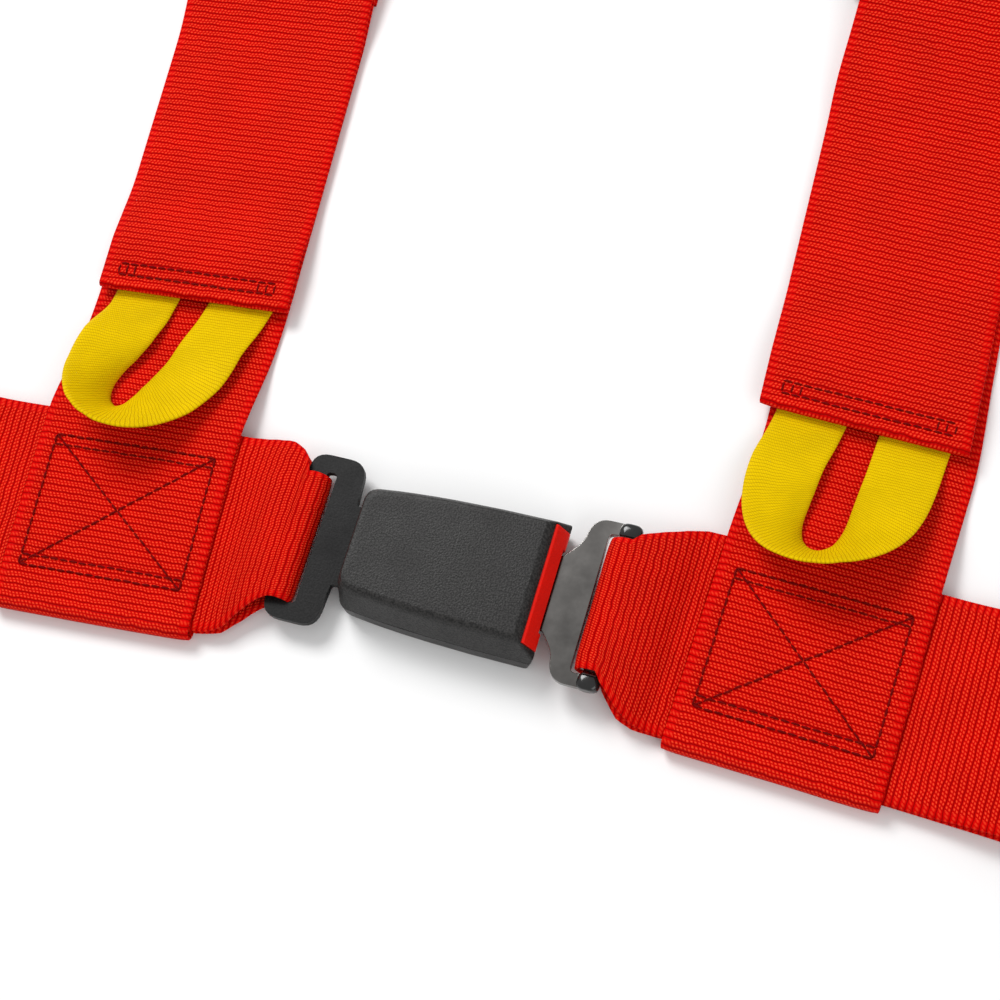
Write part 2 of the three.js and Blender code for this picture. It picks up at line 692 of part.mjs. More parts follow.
// Free tail of the shoulder strap: forward over the front bar, down onto the lower strap, and
// folded under at its hem.
function tailStrap(shifts) {
  const grip = shoulderAdjuster + gripAlong;
  const bar = shoulderAdjuster + frontBarAlong;
  const low = ground + layer;
  const hemEnd = tailHem + hemLength;
  const hemLow = low + loopThickness + gap + barGap;
  const hemHigh = hemLow + layer;
  const points = [
    [grip - tailSplit, gripTop], [bar + 8, gripTop - 0.8], [bar, gripTop - 1.6], [bar - 8, gripTop - 3.6],
    [bar - 22, low + 6.3], [bar - 46, low + 3.1], [bar - rampFoot, low + 0.4],
    [bar - rampFoot - 10, low], [hemEnd + 26, low], [hemEnd + 8, hemLow + 1], [hemEnd, hemHigh],
    ...arc(tailHem + layer / 2, (hemLow + hemHigh) / 2, layer / 2, 90, 270, 4),
    [hemEnd - 2, hemLow],
  ];
  const shift = [[tailHem, shifts.tail], [bar - underReturn, shifts.high]];
  return band(alongStations(points, shift), webThickness);
}

// Free tail of the lap strap: outwards over the rear bar, down onto the strap, and folded back
// over itself at its hem.
function lapTail() {
  const over = lapAdjuster + rearBar.to;
  const low = ground + layer + 0.9;
  const hemStart = lapTailEnd - lapHemLength;
  return [
    [hemStart, low + layer], ...arc(lapTailEnd, low + layer / 2, layer / 2, 90, -90, 4), [hemStart, low],
    [over + 24, low + 1.5], [over + 4, gripTop - 3.4], [over - 12, gripTop - 0.5],
  ];
}

// Pull loop: two flat legs under the hem, and a U-turn that stands up over the patch.
function pullLoop(centreX) {
  const turnRadius = (loopLegGap + loopWidth) / 2;
  const flat = webThickness + gap + loopThickness / 2;
  const legStart = tailHem + hemLength - 1;
  const legEnd = tailHem - 4;
  const turnRise = flat + 3.8;
  const lean = radians(loopLean);
  const standing = shoulderFront + webThickness / 2 + 1.8 + (loopWidth / 2) * Math.sin(lean);
  const stations = [];
  const leg = (hand, along, height) => stations.push({
    centre: new THREE.Vector3(centreX + hand * turnRadius, along, height),
    across: new THREE.Vector3(hand, 0, 0),
    width: loopWidth,
  });
  leg(-1, legStart, flat);
  leg(-1, legEnd, flat + barGap);
  const steps = 14;
  for (let step = 0; step <= steps; step++) {
    const share = step / steps;
    const turn = Math.PI * (1 + share);
    const rise = Math.sin(Math.PI * share) ** 0.8;
    const outward = new THREE.Vector3(Math.cos(turn), Math.sin(turn), 0);
    const tilt = lean * rise;
    const centre = new THREE.Vector3(centreX, loopTurn, 0).addScaledVector(outward, turnRadius);
    centre.y += (1 - rise) * loopDraw;
    centre.z = turnRise + (standing - turnRise) * rise;
    const across = outward.clone().multiplyScalar(Math.cos(tilt)).setZ(Math.sin(tilt));
    stations.push({ centre, across, width: loopWidth });
  }
  leg(1, legEnd, flat + barGap);
  leg(1, legStart, flat);
  return band(stations, loopThickness);
}

// Adjuster frame along Y, its middle at the given place.
function adjusterFrame(along, offset) {
  const half = adjusterWidth / 2;
  const window = adjusterWindow / 2;
  const low = adjusterHeight - adjusterThickness / 2;
  const high = adjusterHeight + adjusterThickness / 2;
  const plate = slab(roundedBox(-half, half, frontBar.from, rearBar.to, 4), low, high);
  const opening = slab(roundedBox(-window, window, frontBar.to, rearBar.from, 2), low - past, high + past);
  const cheeks = [[-half, cheekThickness - half], [half - cheekThickness, half]].map((sides) =>
    block(...sides, gripAlong - cheekReach, gripAlong + cheekReach, low, high + cheekHeight));
  const bore = rod(gripJournal + gap, -half - past, half + past, [gripAlong, gripHeight], 'x', 16);
  return cut(join(plate, ...cheeks), opening, bore).translate(offset, along, 0);
}

// Grip bar, turned down at both ends where the cheeks hold it.
function gripBar(along, offset) {
  const half = adjusterWidth / 2;
  const inside = half - cheekThickness - gap;
  const thick = rod(gripRadius, -inside, inside, [gripAlong, gripHeight], 'x', 16);
  const thin = rod(gripJournal, -half, half, [gripAlong, gripHeight], 'x', 16);
  return join(thick, thin).translate(offset, along, 0);
}

// Bolt-in plate: slot bar at the origin, tapering to the eye.
function boltPlate(along, offset) {
  const half = adjusterWidth / 2 - 1;
  const low = adjusterHeight - boltPlateThickness / 2;
  const high = adjusterHeight + boltPlateThickness / 2;
  const back = -flatBarWidth / 2;
  const slotEnd = flatBarWidth / 2 + boltSlotWidth;
  const eyeEnd = boltEye + boltEyeRadius;
  const edge = [
    [half, back, 4], [half, slotEnd + 4, 6], [boltEyeRadius, boltEye, 8], [boltEyeRadius * 0.8, eyeEnd, 9],
  ];
  const mirrored = edge.map(([x, y, radius]) => [-x, y, radius]).reverse();
  const window = adjusterWindow / 2;
  const slot = slab(roundedBox(-window, window, flatBarWidth / 2, slotEnd, 2), low - past, high + past);
  const hole = rod(boltHoleRadius, low - past, high + past, [0, boltEye], 'z', 28);
  const pad = rod(boltPadRadius, high - sunk, high + boltPadHeight, [0, boltEye], 'z', 28);
  const plate = slab(rounded([...edge, ...mirrored]), low, high);
  return cut(join(plate, pad), slot, hole).translate(offset, along, 0);
}

function buildHalf(half) {
  const { side } = half;
  place(harness, `lap_strap_${side}`, lapStrap(half), 'webbing');

  const group = new THREE.Group();
  group.position.set(half.x, half.y, 0);
  group.rotation.z = radians(half.yaw);
  harness.add(group);

  const shifts = shoulderShift[side];
  const { high } = shifts;
  const rear = rearStrap(shoulderAdjuster + gripAlong, shoulderAnchor, high, null);
  place(group, `shoulder_lower_strap_${side}`, shoulderLowerStrap(shifts), 'webbing');
  place(group, `shoulder_adjuster_frame_${side}`, adjusterFrame(shoulderAdjuster, high), 'black');
  place(group, `shoulder_grip_bar_${side}`, gripBar(shoulderAdjuster, high), 'steel');
  place(group, `shoulder_rear_strap_${side}`, rear, 'webbing');
  place(group, `shoulder_tail_${side}`, tailStrap(shifts), 'webbing');
  place(group, `pull_loop_${side}`, pullLoop(shifts.tail), 'pull');
  place(group, `shoulder_anchor_plate_${side}`, boltPlate(shoulderAnchor, high), 'black');

  // The lap end is the same hardware turned to point away from the buckle.
  const lap = new THREE.Group();
  lap.rotation.z = (half.toBuckle * Math.PI) / 2;
  lap.position.set(0, lapCentre, 0);
  group.add(lap);
  const outer = rearStrap(lapAdjuster + gripAlong, lapAnchor, 0, lapTail());
  place(lap, `lap_adjuster_frame_${side}`, adjusterFrame(lapAdjuster, 0), 'black');
  place(lap, `lap_grip_bar_${side}`, gripBar(lapAdjuster, 0), 'steel');
  place(lap, `lap_anchor_strap_${side}`, outer, 'webbing');
  place(lap, `lap_anchor_plate_${side}`, boltPlate(lapAnchor, 0), 'black');
}

buildBuckle();
halves.forEach(buildHalf);

export default harness;
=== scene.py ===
# Racing harness laid out flat: webbing, stitching, buckle and hardware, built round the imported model.
import bpy
import bmesh
import json
import math
import random
from mathutils import Matrix, Vector, noise


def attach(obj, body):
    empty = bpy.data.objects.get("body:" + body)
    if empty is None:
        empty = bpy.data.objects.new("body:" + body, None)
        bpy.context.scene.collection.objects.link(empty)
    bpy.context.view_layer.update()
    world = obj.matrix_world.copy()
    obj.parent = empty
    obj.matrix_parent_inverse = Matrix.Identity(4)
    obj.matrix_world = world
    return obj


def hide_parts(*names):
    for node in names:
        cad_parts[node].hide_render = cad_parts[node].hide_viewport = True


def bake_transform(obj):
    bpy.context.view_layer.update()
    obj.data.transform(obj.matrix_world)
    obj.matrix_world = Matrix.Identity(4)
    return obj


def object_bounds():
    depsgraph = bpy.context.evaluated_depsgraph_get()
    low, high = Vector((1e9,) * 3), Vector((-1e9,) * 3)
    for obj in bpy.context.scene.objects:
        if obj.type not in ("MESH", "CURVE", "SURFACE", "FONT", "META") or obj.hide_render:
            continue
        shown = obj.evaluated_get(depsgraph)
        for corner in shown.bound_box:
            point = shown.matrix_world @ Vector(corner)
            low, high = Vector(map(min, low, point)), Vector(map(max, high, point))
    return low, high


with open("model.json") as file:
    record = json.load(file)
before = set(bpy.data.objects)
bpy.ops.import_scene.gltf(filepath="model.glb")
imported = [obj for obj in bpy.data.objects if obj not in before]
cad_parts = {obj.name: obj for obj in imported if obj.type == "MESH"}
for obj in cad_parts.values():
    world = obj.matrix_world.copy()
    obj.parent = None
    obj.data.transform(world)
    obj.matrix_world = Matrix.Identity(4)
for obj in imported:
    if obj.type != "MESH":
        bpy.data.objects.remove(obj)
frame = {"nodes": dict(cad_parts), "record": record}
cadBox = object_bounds()
mm = 0.001
random.seed(7)

cameraView = {
    "aim": Vector((9.3, 29.6, 8.9)) * mm,
    "distance": 764 * mm,
    "azimuth": -52.8,      # degrees round from +X
    "elevation": 68,
    "roll": -22,
    "lens": 77.9,
}
studio = {
    "floorSize": 30,
    "floorColour": (0.86, 0.86, 0.86, 1),
    "floorRoughness": 0.7,
    "floorDrop": 0.0002,
    "worldLight": 0.60,
    "aim": (0, 0.1, 0),
    "lamps": {
        "key": {"place": (-0.9, 0.9, 1.5), "size": (0.8, 0.8), "power": 27},
        "fill": {"place": (1.2, -0.8, 1.3), "size": (1.4, 1.0), "power": 9},
    },
}


def makeCamera():
    az = math.radians(cameraView["azimuth"])
    el = math.radians(cameraView["elevation"])
    toCamera = Vector((math.cos(el) * math.cos(az), math.cos(el) * math.sin(az), math.sin(el)))
    right = toCamera.cross(Vector((0, 0, -1))).normalized()
    up = toCamera.cross(right).normalized()
    roll = math.radians(cameraView["roll"])
    rolledRight = right * math.cos(roll) + up * math.sin(roll)
    rolledUp = up * math.cos(roll) - right * math.sin(roll)
    cam = bpy.data.objects.new("camera", bpy.data.cameras.new("camera"))
    cam.data.lens = cameraView["lens"]
    cam.data.sensor_width = 36
    cam.data.clip_start = 0.01
    cam.data.clip_end = 100
    turn = Matrix((rolledRight, rolledUp, toCamera)).transposed().to_4x4()
    place = cameraView["aim"] + toCamera * cameraView["distance"]
    cam.matrix_world = Matrix.Translation(place) @ turn
    bpy.context.collection.objects.link(cam)
    bpy.context.scene.camera = cam


def areaLight(name, lampLook):
    data = bpy.data.lights.new(name, "AREA")
    data.shape = "RECTANGLE"
    data.size, data.size_y = lampLook["size"]
    data.energy = lampLook["power"]
    lamp = bpy.data.objects.new(name, data)
    place = Vector(lampLook["place"])
    lamp.location = place
    lamp.rotation_euler = (place - Vector(studio["aim"])).to_track_quat("Z", "Y").to_euler()
    bpy.context.collection.objects.link(lamp)


def makeStudio():
    world = bpy.data.worlds.new("studio")
    bpy.context.scene.world = world
    world.use_nodes = True
    back = world.node_tree.nodes["Background"]
    back.inputs["Color"].default_value = (1, 1, 1, 1)
    back.inputs["Strength"].default_value = studio["worldLight"]
    for name, lampLook in studio["lamps"].items():
        areaLight(name, lampLook)
    bpy.context.scene.view_settings.view_transform = "Standard"
    half = studio["floorSize"] / 2
    mesh = bpy.data.meshes.new("floor")
    corners = [(-half, -half, 0), (half, -half, 0), (half, half, 0), (-half, half, 0)]
    mesh.from_pydata(corners, [], [(0, 1, 2, 3)])
    floor = bpy.data.objects.new("floor", mesh)
    floor.location.z = cadBox[0][2] - studio["floorDrop"]
    bpy.context.collection.objects.link(floor)
    paint = bpy.data.materials.new("paleFloor")
    paint.use_nodes = True
    shader = paint.node_tree.nodes["Principled BSDF"]
    shader.inputs["Base Color"].default_value = studio["floorColour"]
    shader.inputs["Roughness"].default_value = studio["floorRoughness"]
    mesh.materials.append(paint)


makeCamera()
makeStudio()
print("camera and studio ready")


# short hand for wiring one node tree
class Graph:
    def __init__(self, tree):
        self.tree = tree

    def add(self, kind, values=None, **settings):
        node = self.tree.nodes.new(kind)
        for key, value in settings.items():
            setattr(node, key, value)
        for key, value in (values or {}).items():
            self.feed(node.inputs[key], value)
        return node

    def feed(self, socket, value):
        if isinstance(value, bpy.types.NodeSocket):
            self.tree.links.new(value, socket)
        else:
            socket.default_value = value

    def math(self, operation, a, b=0.5, c=0.5):
        node = self.add("ShaderNodeMath", {0: a, 1: b, 2: c}, operation=operation)
        return node.outputs[0]

    # a row of rounded crests, one to each whole number of the value
    def crowned(self, value, power):
        wave = self.math("ABSOLUTE", self.math("SINE", self.math("MULTIPLY", value, math.pi)))
        return self.math("POWER", wave, power)

    def mix(self, factor, a, b):
        node = self.add("ShaderNodeMix", data_type="RGBA")
        self.feed(node.inputs[0], factor)
        self.feed(node.inputs[6], a)
        self.feed(node.inputs[7], b)
        return node.outputs[2]

    def ramp(self, value, low, high, fromLow=0.0, fromHigh=1.0):
        node = self.add("ShaderNodeMapRange", {0: value, 1: fromLow, 2: fromHigh, 3: low, 4: high})
        return node.outputs[0]


def newGroup(name, inputs, outputs):
    tree = bpy.data.node_groups.new(name, "ShaderNodeTree")
    for label, kind, value in inputs:
        socket = tree.interface.new_socket(label, in_out="INPUT", socket_type=kind)
        socket.default_value = value
    for label, kind in outputs:
        tree.interface.new_socket(label, in_out="OUTPUT", socket_type=kind)
    graph = Graph(tree)
    return tree, graph, graph.add("NodeGroupInput"), graph.add("NodeGroupOutput")


# wander and blotch are noise scales, drift is in metres, rib, ridge and float are powers of their crests
weaveForm = {"wander": 220.0, "drift": 0.0011, "rib": 0.55, "ridge": 0.8, "float": 0.9, "slant": 0.4,
             "lowPick": 0.34, "selvedgeLow": 0.5, "selvedgeHigh": 0.72, "blotch": 55.0}


# rows of raised picks across the webbing, each broken into floats that step from row to row
def ribWeave():
    tree, g, given, out = newGroup("ribWeave", [
        ("Rib Pitch", "NodeSocketFloat", 0.0026), ("Float Pitch", "NodeSocketFloat", 0.0014),
        ("Step", "NodeSocketFloat", 0.5), ("Selvedge", "NodeSocketFloat", 0.036),
    ], [("Height", "NodeSocketFloat"), ("Tone", "NodeSocketFloat")])
    uv = g.add("ShaderNodeUVMap", uv_map="webbing")
    split = g.add("ShaderNodeSeparateXYZ", {0: uv.outputs[0]})
    wander = g.add("ShaderNodeTexNoise", {"Vector": uv.outputs[0], "Scale": weaveForm["wander"],
                                          "Detail": 1.0})
    drift = g.math("MULTIPLY", g.math("SUBTRACT", wander.outputs[0], 0.5), weaveForm["drift"])
    along = g.math("ADD", split.outputs[0], drift)
    ribs = g.math("DIVIDE", along, given.outputs["Rib Pitch"])
    rows = g.math("MULTIPLY", ribs, 2.0)
    ribShape = g.crowned(ribs, weaveForm["rib"])
    ridge = g.crowned(rows, weaveForm["ridge"])
    across = g.math("DIVIDE", split.outputs[1], given.outputs["Float Pitch"])
    across = g.math("ADD", across, g.math("MULTIPLY", g.math("FLOOR", rows), given.outputs["Step"]))
    across = g.math("ADD", across, g.math("MULTIPLY", g.math("FRACT", rows), weaveForm["slant"]))
    floats = g.crowned(across, weaveForm["float"])
    picks = g.math("MULTIPLY", ridge, floats)
    body = g.math("MULTIPLY", ribShape, g.ramp(picks, weaveForm["lowPick"], 1.0))
    edge = g.math("ABSOLUTE", split.outputs[1])
    inSelvedge = g.math("GREATER_THAN", edge, given.outputs["Selvedge"])
    bead = g.math("MULTIPLY", ribShape, g.ramp(floats, weaveForm["selvedgeLow"], weaveForm["selvedgeHigh"]))
    height = g.math("ADD", g.math("MULTIPLY", body, g.math("SUBTRACT", 1.0, inSelvedge)),
                    g.math("MULTIPLY", bead, inSelvedge))
    g.feed(out.inputs["Height"], height)
    blotch = g.add("ShaderNodeTexNoise", {"Vector": uv.outputs[0], "Scale": weaveForm["blotch"],
                                          "Detail": 3.0})
    g.feed(out.inputs["Tone"], g.ramp(blotch.outputs[0], 0.0, 1.0, 0.3, 0.7))
    return tree


# fine leathery grain for moulded plastic and coated metal
def mouldedGrain():
    tree, g, given, out = newGroup("mouldedGrain", [
        ("Scale", "NodeSocketFloat", 2600.0), ("Fleck", "NodeSocketFloat", 0.5),
    ], [("Height", "NodeSocketFloat"), ("Tone", "NodeSocketFloat")])
    place = g.add("ShaderNodeTexCoord")
    fine = g.add("ShaderNodeTexNoise", {"Vector": place.outputs["Object"], "Scale": given.outputs["Scale"],
                                        "Detail": 2.0})
    wide = g.add("ShaderNodeTexNoise", {"Vector": place.outputs["Object"], "Scale": 90.0, "Detail": 3.0})
    g.feed(out.inputs["Height"], fine.outputs[0])
    fleck = g.math("MULTIPLY", g.math("SUBTRACT", fine.outputs[0], 0.5), given.outputs["Fleck"])
    g.feed(out.inputs["Tone"], g.math("ADD", fleck, g.ramp(wide.outputs[0], 0.35, 0.65)))
    return tree


# mask of rubbed edges, broken up so that it isn't an even line
def edgeWear():
    tree, g, given, out = newGroup("edgeWear", [
        ("Reach", "NodeSocketFloat", 0.54), ("Breakup", "NodeSocketFloat", 400.0),
    ], [("Mask", "NodeSocketFloat")])
    shape = g.add("ShaderNodeNewGeometry")
    place = g.add("ShaderNodeTexCoord")
    patchy = g.add("ShaderNodeTexNoise", {"Vector": place.outputs["Object"],
                                          "Scale": given.outputs["Breakup"], "Detail": 3.0})
    edge = g.add("ShaderNodeMapRange", {0: shape.outputs["Pointiness"], 1: given.outputs["Reach"], 2: 0.62})
    broken = g.ramp(patchy.outputs[0], 0.0, 1.0, 0.4, 0.6)
    g.feed(out.inputs["Mask"], g.math("MULTIPLY", edge.outputs[0], broken))
    return tree


# large soft variation, for roughness and a trace of dust
def settledDust():
    tree, g, given, out = newGroup("settledDust", [("Scale", "NodeSocketFloat", 60.0)],
                                   [("Mask", "NodeSocketFloat")])
    place = g.add("ShaderNodeTexCoord")
    cloud = g.add("ShaderNodeTexNoise", {"Vector": place.outputs["Object"], "Scale": given.outputs["Scale"],
                                         "Detail": 5.0, "Roughness": 0.65})
    g.feed(out.inputs["Mask"], g.ramp(cloud.outputs[0], 0.0, 1.0, 0.38, 0.72))
    return tree


groups = {"weave": ribWeave(), "grain": mouldedGrain(), "wear": edgeWear(), "dust": settledDust()}


def placeGroup(g, name, **values):
    node = g.add("ShaderNodeGroup", node_tree=groups[name])
    for key, value in values.items():
        g.feed(node.inputs[key.replace("_", " ")], value)
    return node


def startMaterial(name):
    material = bpy.data.materials.new(name)
    material.use_nodes = True
    g = Graph(material.node_tree)
    return material, g, material.node_tree.nodes["Principled BSDF"]


# the brightest colour of each look is a painted highlight, standing in for light caught on the crowns of
# the weave
# the darkest colour of each look is painted shade, laid in the grooves between the ribs; base is the
# webbing's own colour
webbingLook = {
    "red": {"paintedHighlight": (1.0, 0.082, 0.026, 1), "base": (0.66, 0.0, 0.0, 1), "paintedGrooveShade": (0.28, 0.0, 0.0, 1),
            "rib": 0.00245, "float": 0.0014, "step": 0.5, "selvedge": 0.0345, "bump": 0.0005,
            "rough": 0.6},
    "yellow": {"paintedHighlight": (0.84, 0.62, 0.0, 1), "base": (0.74, 0.49, 0.0, 1), "paintedGrooveShade": (0.45, 0.27, 0.0, 1),
               "rib": 0.0012, "float": 0.0009, "step": 0.5, "selvedge": 0.0118, "bump": 0.00016,
               "rough": 0.6},
}


# the same colour, darker or lighter
def shade(colour, share, lift=0.0):
    return [min(c * share + lift, 1) for c in colour[:3]] + [1]


def webbingMaterial(name, look):
    material, g, shader = startMaterial(name)
    weave = placeGroup(g, "weave", Rib_Pitch=look["rib"], Float_Pitch=look["float"], Step=look["step"],
                       Selvedge=look["selvedge"])
    tone = g.mix(weave.outputs["Tone"], look["base"], shade(look["base"], 0.82))
    # painted shade: where the weave is low, between the ribs, the colour drops to a dark tone standing in
    # for shade in the grooves
    colour = g.mix(g.ramp(weave.outputs["Height"], 0.0, 1.0, 0.05, 0.45), look["paintedGrooveShade"], tone)
    # painted highlight: the crowns of the raised picks are tinted a brighter orange-red, as if lit
    paintedHighlightMask = g.ramp(weave.outputs["Height"], 0.0, 0.92, 0.55, 0.95)
    colour = g.mix(paintedHighlightMask, colour, look["paintedHighlight"])
    dust = placeGroup(g, "dust", Scale=45.0)
    g.feed(shader.inputs["Base Color"], colour)
    rough = g.ramp(dust.outputs["Mask"], look["rough"] - 0.08, look["rough"] + 0.1)
    g.feed(shader.inputs["Roughness"], rough)
    bump = g.add("ShaderNodeBump", {"Strength": 1.0, "Distance": look["bump"],
                                    "Height": weave.outputs["Height"]})
    g.feed(shader.inputs["Normal"], bump.outputs[0])
    shader.inputs["Specular IOR Level"].default_value = 0.03
    return material


threadColour = (0.17, 0.0, 0.0, 1)


def threadMaterial(name, colour):
    material, g, shader = startMaterial(name)
    dust = placeGroup(g, "dust", Scale=700.0)
    g.feed(shader.inputs["Base Color"], g.mix(dust.outputs["Mask"], colour, shade(colour, 0.55)))
    g.feed(shader.inputs["Roughness"], g.ramp(dust.outputs["Mask"], 0.6, 0.8))
    shader.inputs["Specular IOR Level"].default_value = 0.08
    return material


# grain is the moulded texture's scale, depth its height in metres, fleck its unevenness of colour
plasticLook = {
    "cover": {"colour": (0.017, 0.0162, 0.0156, 1), "rough": 0.42, "grain": 1500.0, "depth": 0.00012,
              "coat": 0.0, "fleck": 7.0, "shine": 0.2},
    "inner": {"colour": (0.10, 0.10, 0.10, 1), "rough": 0.5, "grain": 2600.0, "depth": 0.00003,
              "coat": 0.0, "fleck": 0.5, "shine": 0.2},
    "button": {"colour": (0.74, 0.008, 0.003, 1), "rough": 0.40, "grain": 1500.0, "depth": 0.00003,
               "coat": 0.08, "fleck": 0.5, "shine": 0.08},
    "sleeve": {"colour": (0.010, 0.010, 0.010, 1), "rough": 0.14, "grain": 800.0, "depth": 0.00001,
               "coat": 0.6, "fleck": 0.5, "shine": 0.2},
    "anchor": {"colour": (0.007, 0.0068, 0.0069, 1), "rough": 0.40, "grain": 1500.0, "depth": 0.00004,
               "coat": 0.0, "fleck": 3.0, "shine": 0.12},
}


def plasticMaterial(name, look):
    material, g, shader = startMaterial(name)
    colour, rough = look["colour"], look["rough"]
    skin = placeGroup(g, "grain", Scale=look["grain"], Fleck=look["fleck"])
    wear = placeGroup(g, "wear")
    dust = placeGroup(g, "dust")
    body = g.mix(skin.outputs["Tone"], shade(colour, 0.55), shade(colour, 1.6))
    rubbed = g.math("MULTIPLY", wear.outputs[0], 0.3)
    g.feed(shader.inputs["Base Color"], g.mix(rubbed, body, shade(colour, 1.5, 0.012)))
    g.feed(shader.inputs["Roughness"], g.ramp(dust.outputs[0], rough - 0.05, rough + 0.08))
    bump = g.add("ShaderNodeBump", {"Strength": 1.0, "Distance": look["depth"],
                                    "Height": skin.outputs["Height"]})
    g.feed(shader.inputs["Normal"], bump.outputs[0])
    shader.inputs["Specular IOR Level"].default_value = look["shine"]
    shader.inputs["Coat Weight"].default_value = look["coat"]
    shader.inputs["Coat Roughness"].default_value = 0.15
    return material


# bright shows on rubbed edges, cloud is how much wide patches darken
metalLook = {
    "chrome": {"colour": (0.30, 0.287, 0.275, 1), "bright": (0.9, 0.89, 0.87, 1),
               "rough": 0.12, "cloud": 0.62},
    "steel": {"colour": (0.50, 0.50, 0.49, 1), "bright": (0.72, 0.72, 0.70, 1),
              "rough": 0.30, "cloud": 0.15},
}


def metalMaterial(name, look):
    material, g, shader = startMaterial(name)
    colour, rough = look["colour"], look["rough"]
    skin = placeGroup(g, "grain", Scale=900.0, Fleck=0.25)
    wear = placeGroup(g, "wear")
    dust = placeGroup(g, "dust")
    wide = placeGroup(g, "dust", Scale=26.0)
    body = g.mix(skin.outputs["Tone"], shade(colour, 0.85), colour)
    body = g.mix(wide.outputs[0], body, shade(colour, 1 - look["cloud"]))
    g.feed(shader.inputs["Base Color"], g.mix(wear.outputs[0], body, look["bright"]))
    g.feed(shader.inputs["Roughness"], g.ramp(dust.outputs[0], rough, rough + 0.08))
    bump = g.add("ShaderNodeBump", {"Strength": 0.6, "Distance": 0.00001, "Height": skin.outputs["Height"]})
    g.feed(shader.inputs["Normal"], bump.outputs[0])
    shader.inputs["Metallic"].default_value = 1.0
    return material


looks = {
    "webbing": webbingMaterial("redWebbing", webbingLook["red"]),
    "pull_yellow": webbingMaterial("yellowWebbing", webbingLook["yellow"]),
    "thread": threadMaterial("redThread", threadColour),
    "cover_plastic": plasticMaterial("coverPlastic", plasticLook["cover"]),
    "inner_plastic": plasticMaterial("innerPlastic", plasticLook["inner"]),
    "button_red": plasticMaterial("buttonRed", plasticLook["button"]),
    "sleeve_black": plasticMaterial("sleeveBlack", plasticLook["sleeve"]),
    "anchor_black": plasticMaterial("anchorBlack", plasticLook["anchor"]),
    "chrome": metalMaterial("tongueChrome", metalLook["chrome"]),
    "steel": metalMaterial("platedSteel", metalLook["steel"]),
}
print("materials ready")

jointRows = {row["name"]: row for row in frame["record"]["behaviour"]["joints"]}


def jointPoint(name):
    return Vector(jointRows[name]["pos_m"])


def jointAxis(name):
    return Vector(jointRows[name]["axis"]).normalized()


layout = {
    "web": 75 * mm,
    "thick": 2 * mm,
    "gap": 0.3 * mm,
    "lapCentre": -0.8 * mm,
    "patchReach": 40 * mm,
    "patchToAdjuster": 95 * mm,      # from the sewn patch to the lap adjuster's front bar
    "frontBarToGrip": 21.5 * mm,
    "rearBar": 34.5 * mm,            # rear bar's near edge, from the front bar
    "loopRadius": 5 * mm,
    "sleeveRadius": 5.4 * mm,
    "gripWrap": 5.3 * mm,
    "gripAboveBar": 5.6 * mm,
    "gathered": 48 * mm,
    "hem": 88 * mm,
    "hemLength": 18 * mm,
}


# one sewn half: u along the lap strap, v along the shoulder strap, from the patch's centre
class HalfFrame:
    def __init__(self, side, toBuckle, low, tail):
        self.side = side
        self.toBuckle = toBuckle
        self.u = jointAxis("shoulder_adjuster_tilt_" + side)
        self.v = Vector((-self.u.y, self.u.x, 0))
        lapBar = jointPoint("lap_adjuster_tilt_" + side)
        centre = lapBar + self.u * toBuckle * layout["patchToAdjuster"] - self.v * layout["lapCentre"]
        self.centre = Vector((centre.x, centre.y, 0))
        self.low = low * mm
        self.high = (jointPoint("shoulder_adjuster_tilt_" + side) - self.centre).dot(self.u)
        self.tail = tail * mm
        self.barHeight = lapBar.z

    def at(self, u, v, z=0.0):
        return self.centre + self.u * u + self.v * v + Vector((0, 0, z))

    def along(self, name):
        return (jointPoint(name + "_" + self.side) - self.centre).dot(self.v)


halves = [HalfFrame("left", 1, 3, 4.5), HalfFrame("right", -1, 0, -4)]


def arcPoints(along, height, radius, start, end, steps=10):
    turns = [math.radians(start + (end - start) * k / steps) for k in range(steps + 1)]
    return [(along + radius * math.cos(t), height + radius * math.sin(t)) for t in turns]


# closely spaced stations on a smooth curve through the given (centre, across, width, curl) rows
def smoothRun(stations, spacing):
    rows = []
    count = len(stations)
    for k in range(count - 1):
        p0 = stations[max(k - 1, 0)]
        p1, p2 = stations[k], stations[k + 1]
        p3 = stations[min(k + 2, count - 1)]
        length = (p2[0] - p1[0]).length
        steps = max(1, round(length / spacing(p1, p2)))
        m1 = tangent(p0[0], p1[0], p2[0]) * length
        m2 = tangent(p1[0], p2[0], p3[0]) * length
        for step in range(steps + (k == count - 2)):
            t = step / steps
            a = 2 * t ** 3 - 3 * t ** 2 + 1
            b = t ** 3 - 2 * t ** 2 + t
            c = -2 * t ** 3 + 3 * t ** 2
            d = t ** 3 - t ** 2
            centre = p1[0] * a + m1 * b + p2[0] * c + m2 * d
            across = p1[1].lerp(p2[1], t).normalized()
            rows.append((centre, across, p1[2] + (p2[2] - p1[2]) * t, p1[3] + (p2[3] - p1[3]) * t))
    return rows


def tangent(before, here, after):
    first, second = here - before, after - here
    if first.length < 1e-9:
        return second.normalized()
    if second.length < 1e-9:
        return first.normalized()
    blend = first.normalized() * second.length + second.normalized() * first.length
    if min(abs(first.z) / first.length, abs(second.z) / second.length) < 0.01:
        blend.z = 0      # a level stretch stays level up to its end
    return blend / (first.length + second.length)


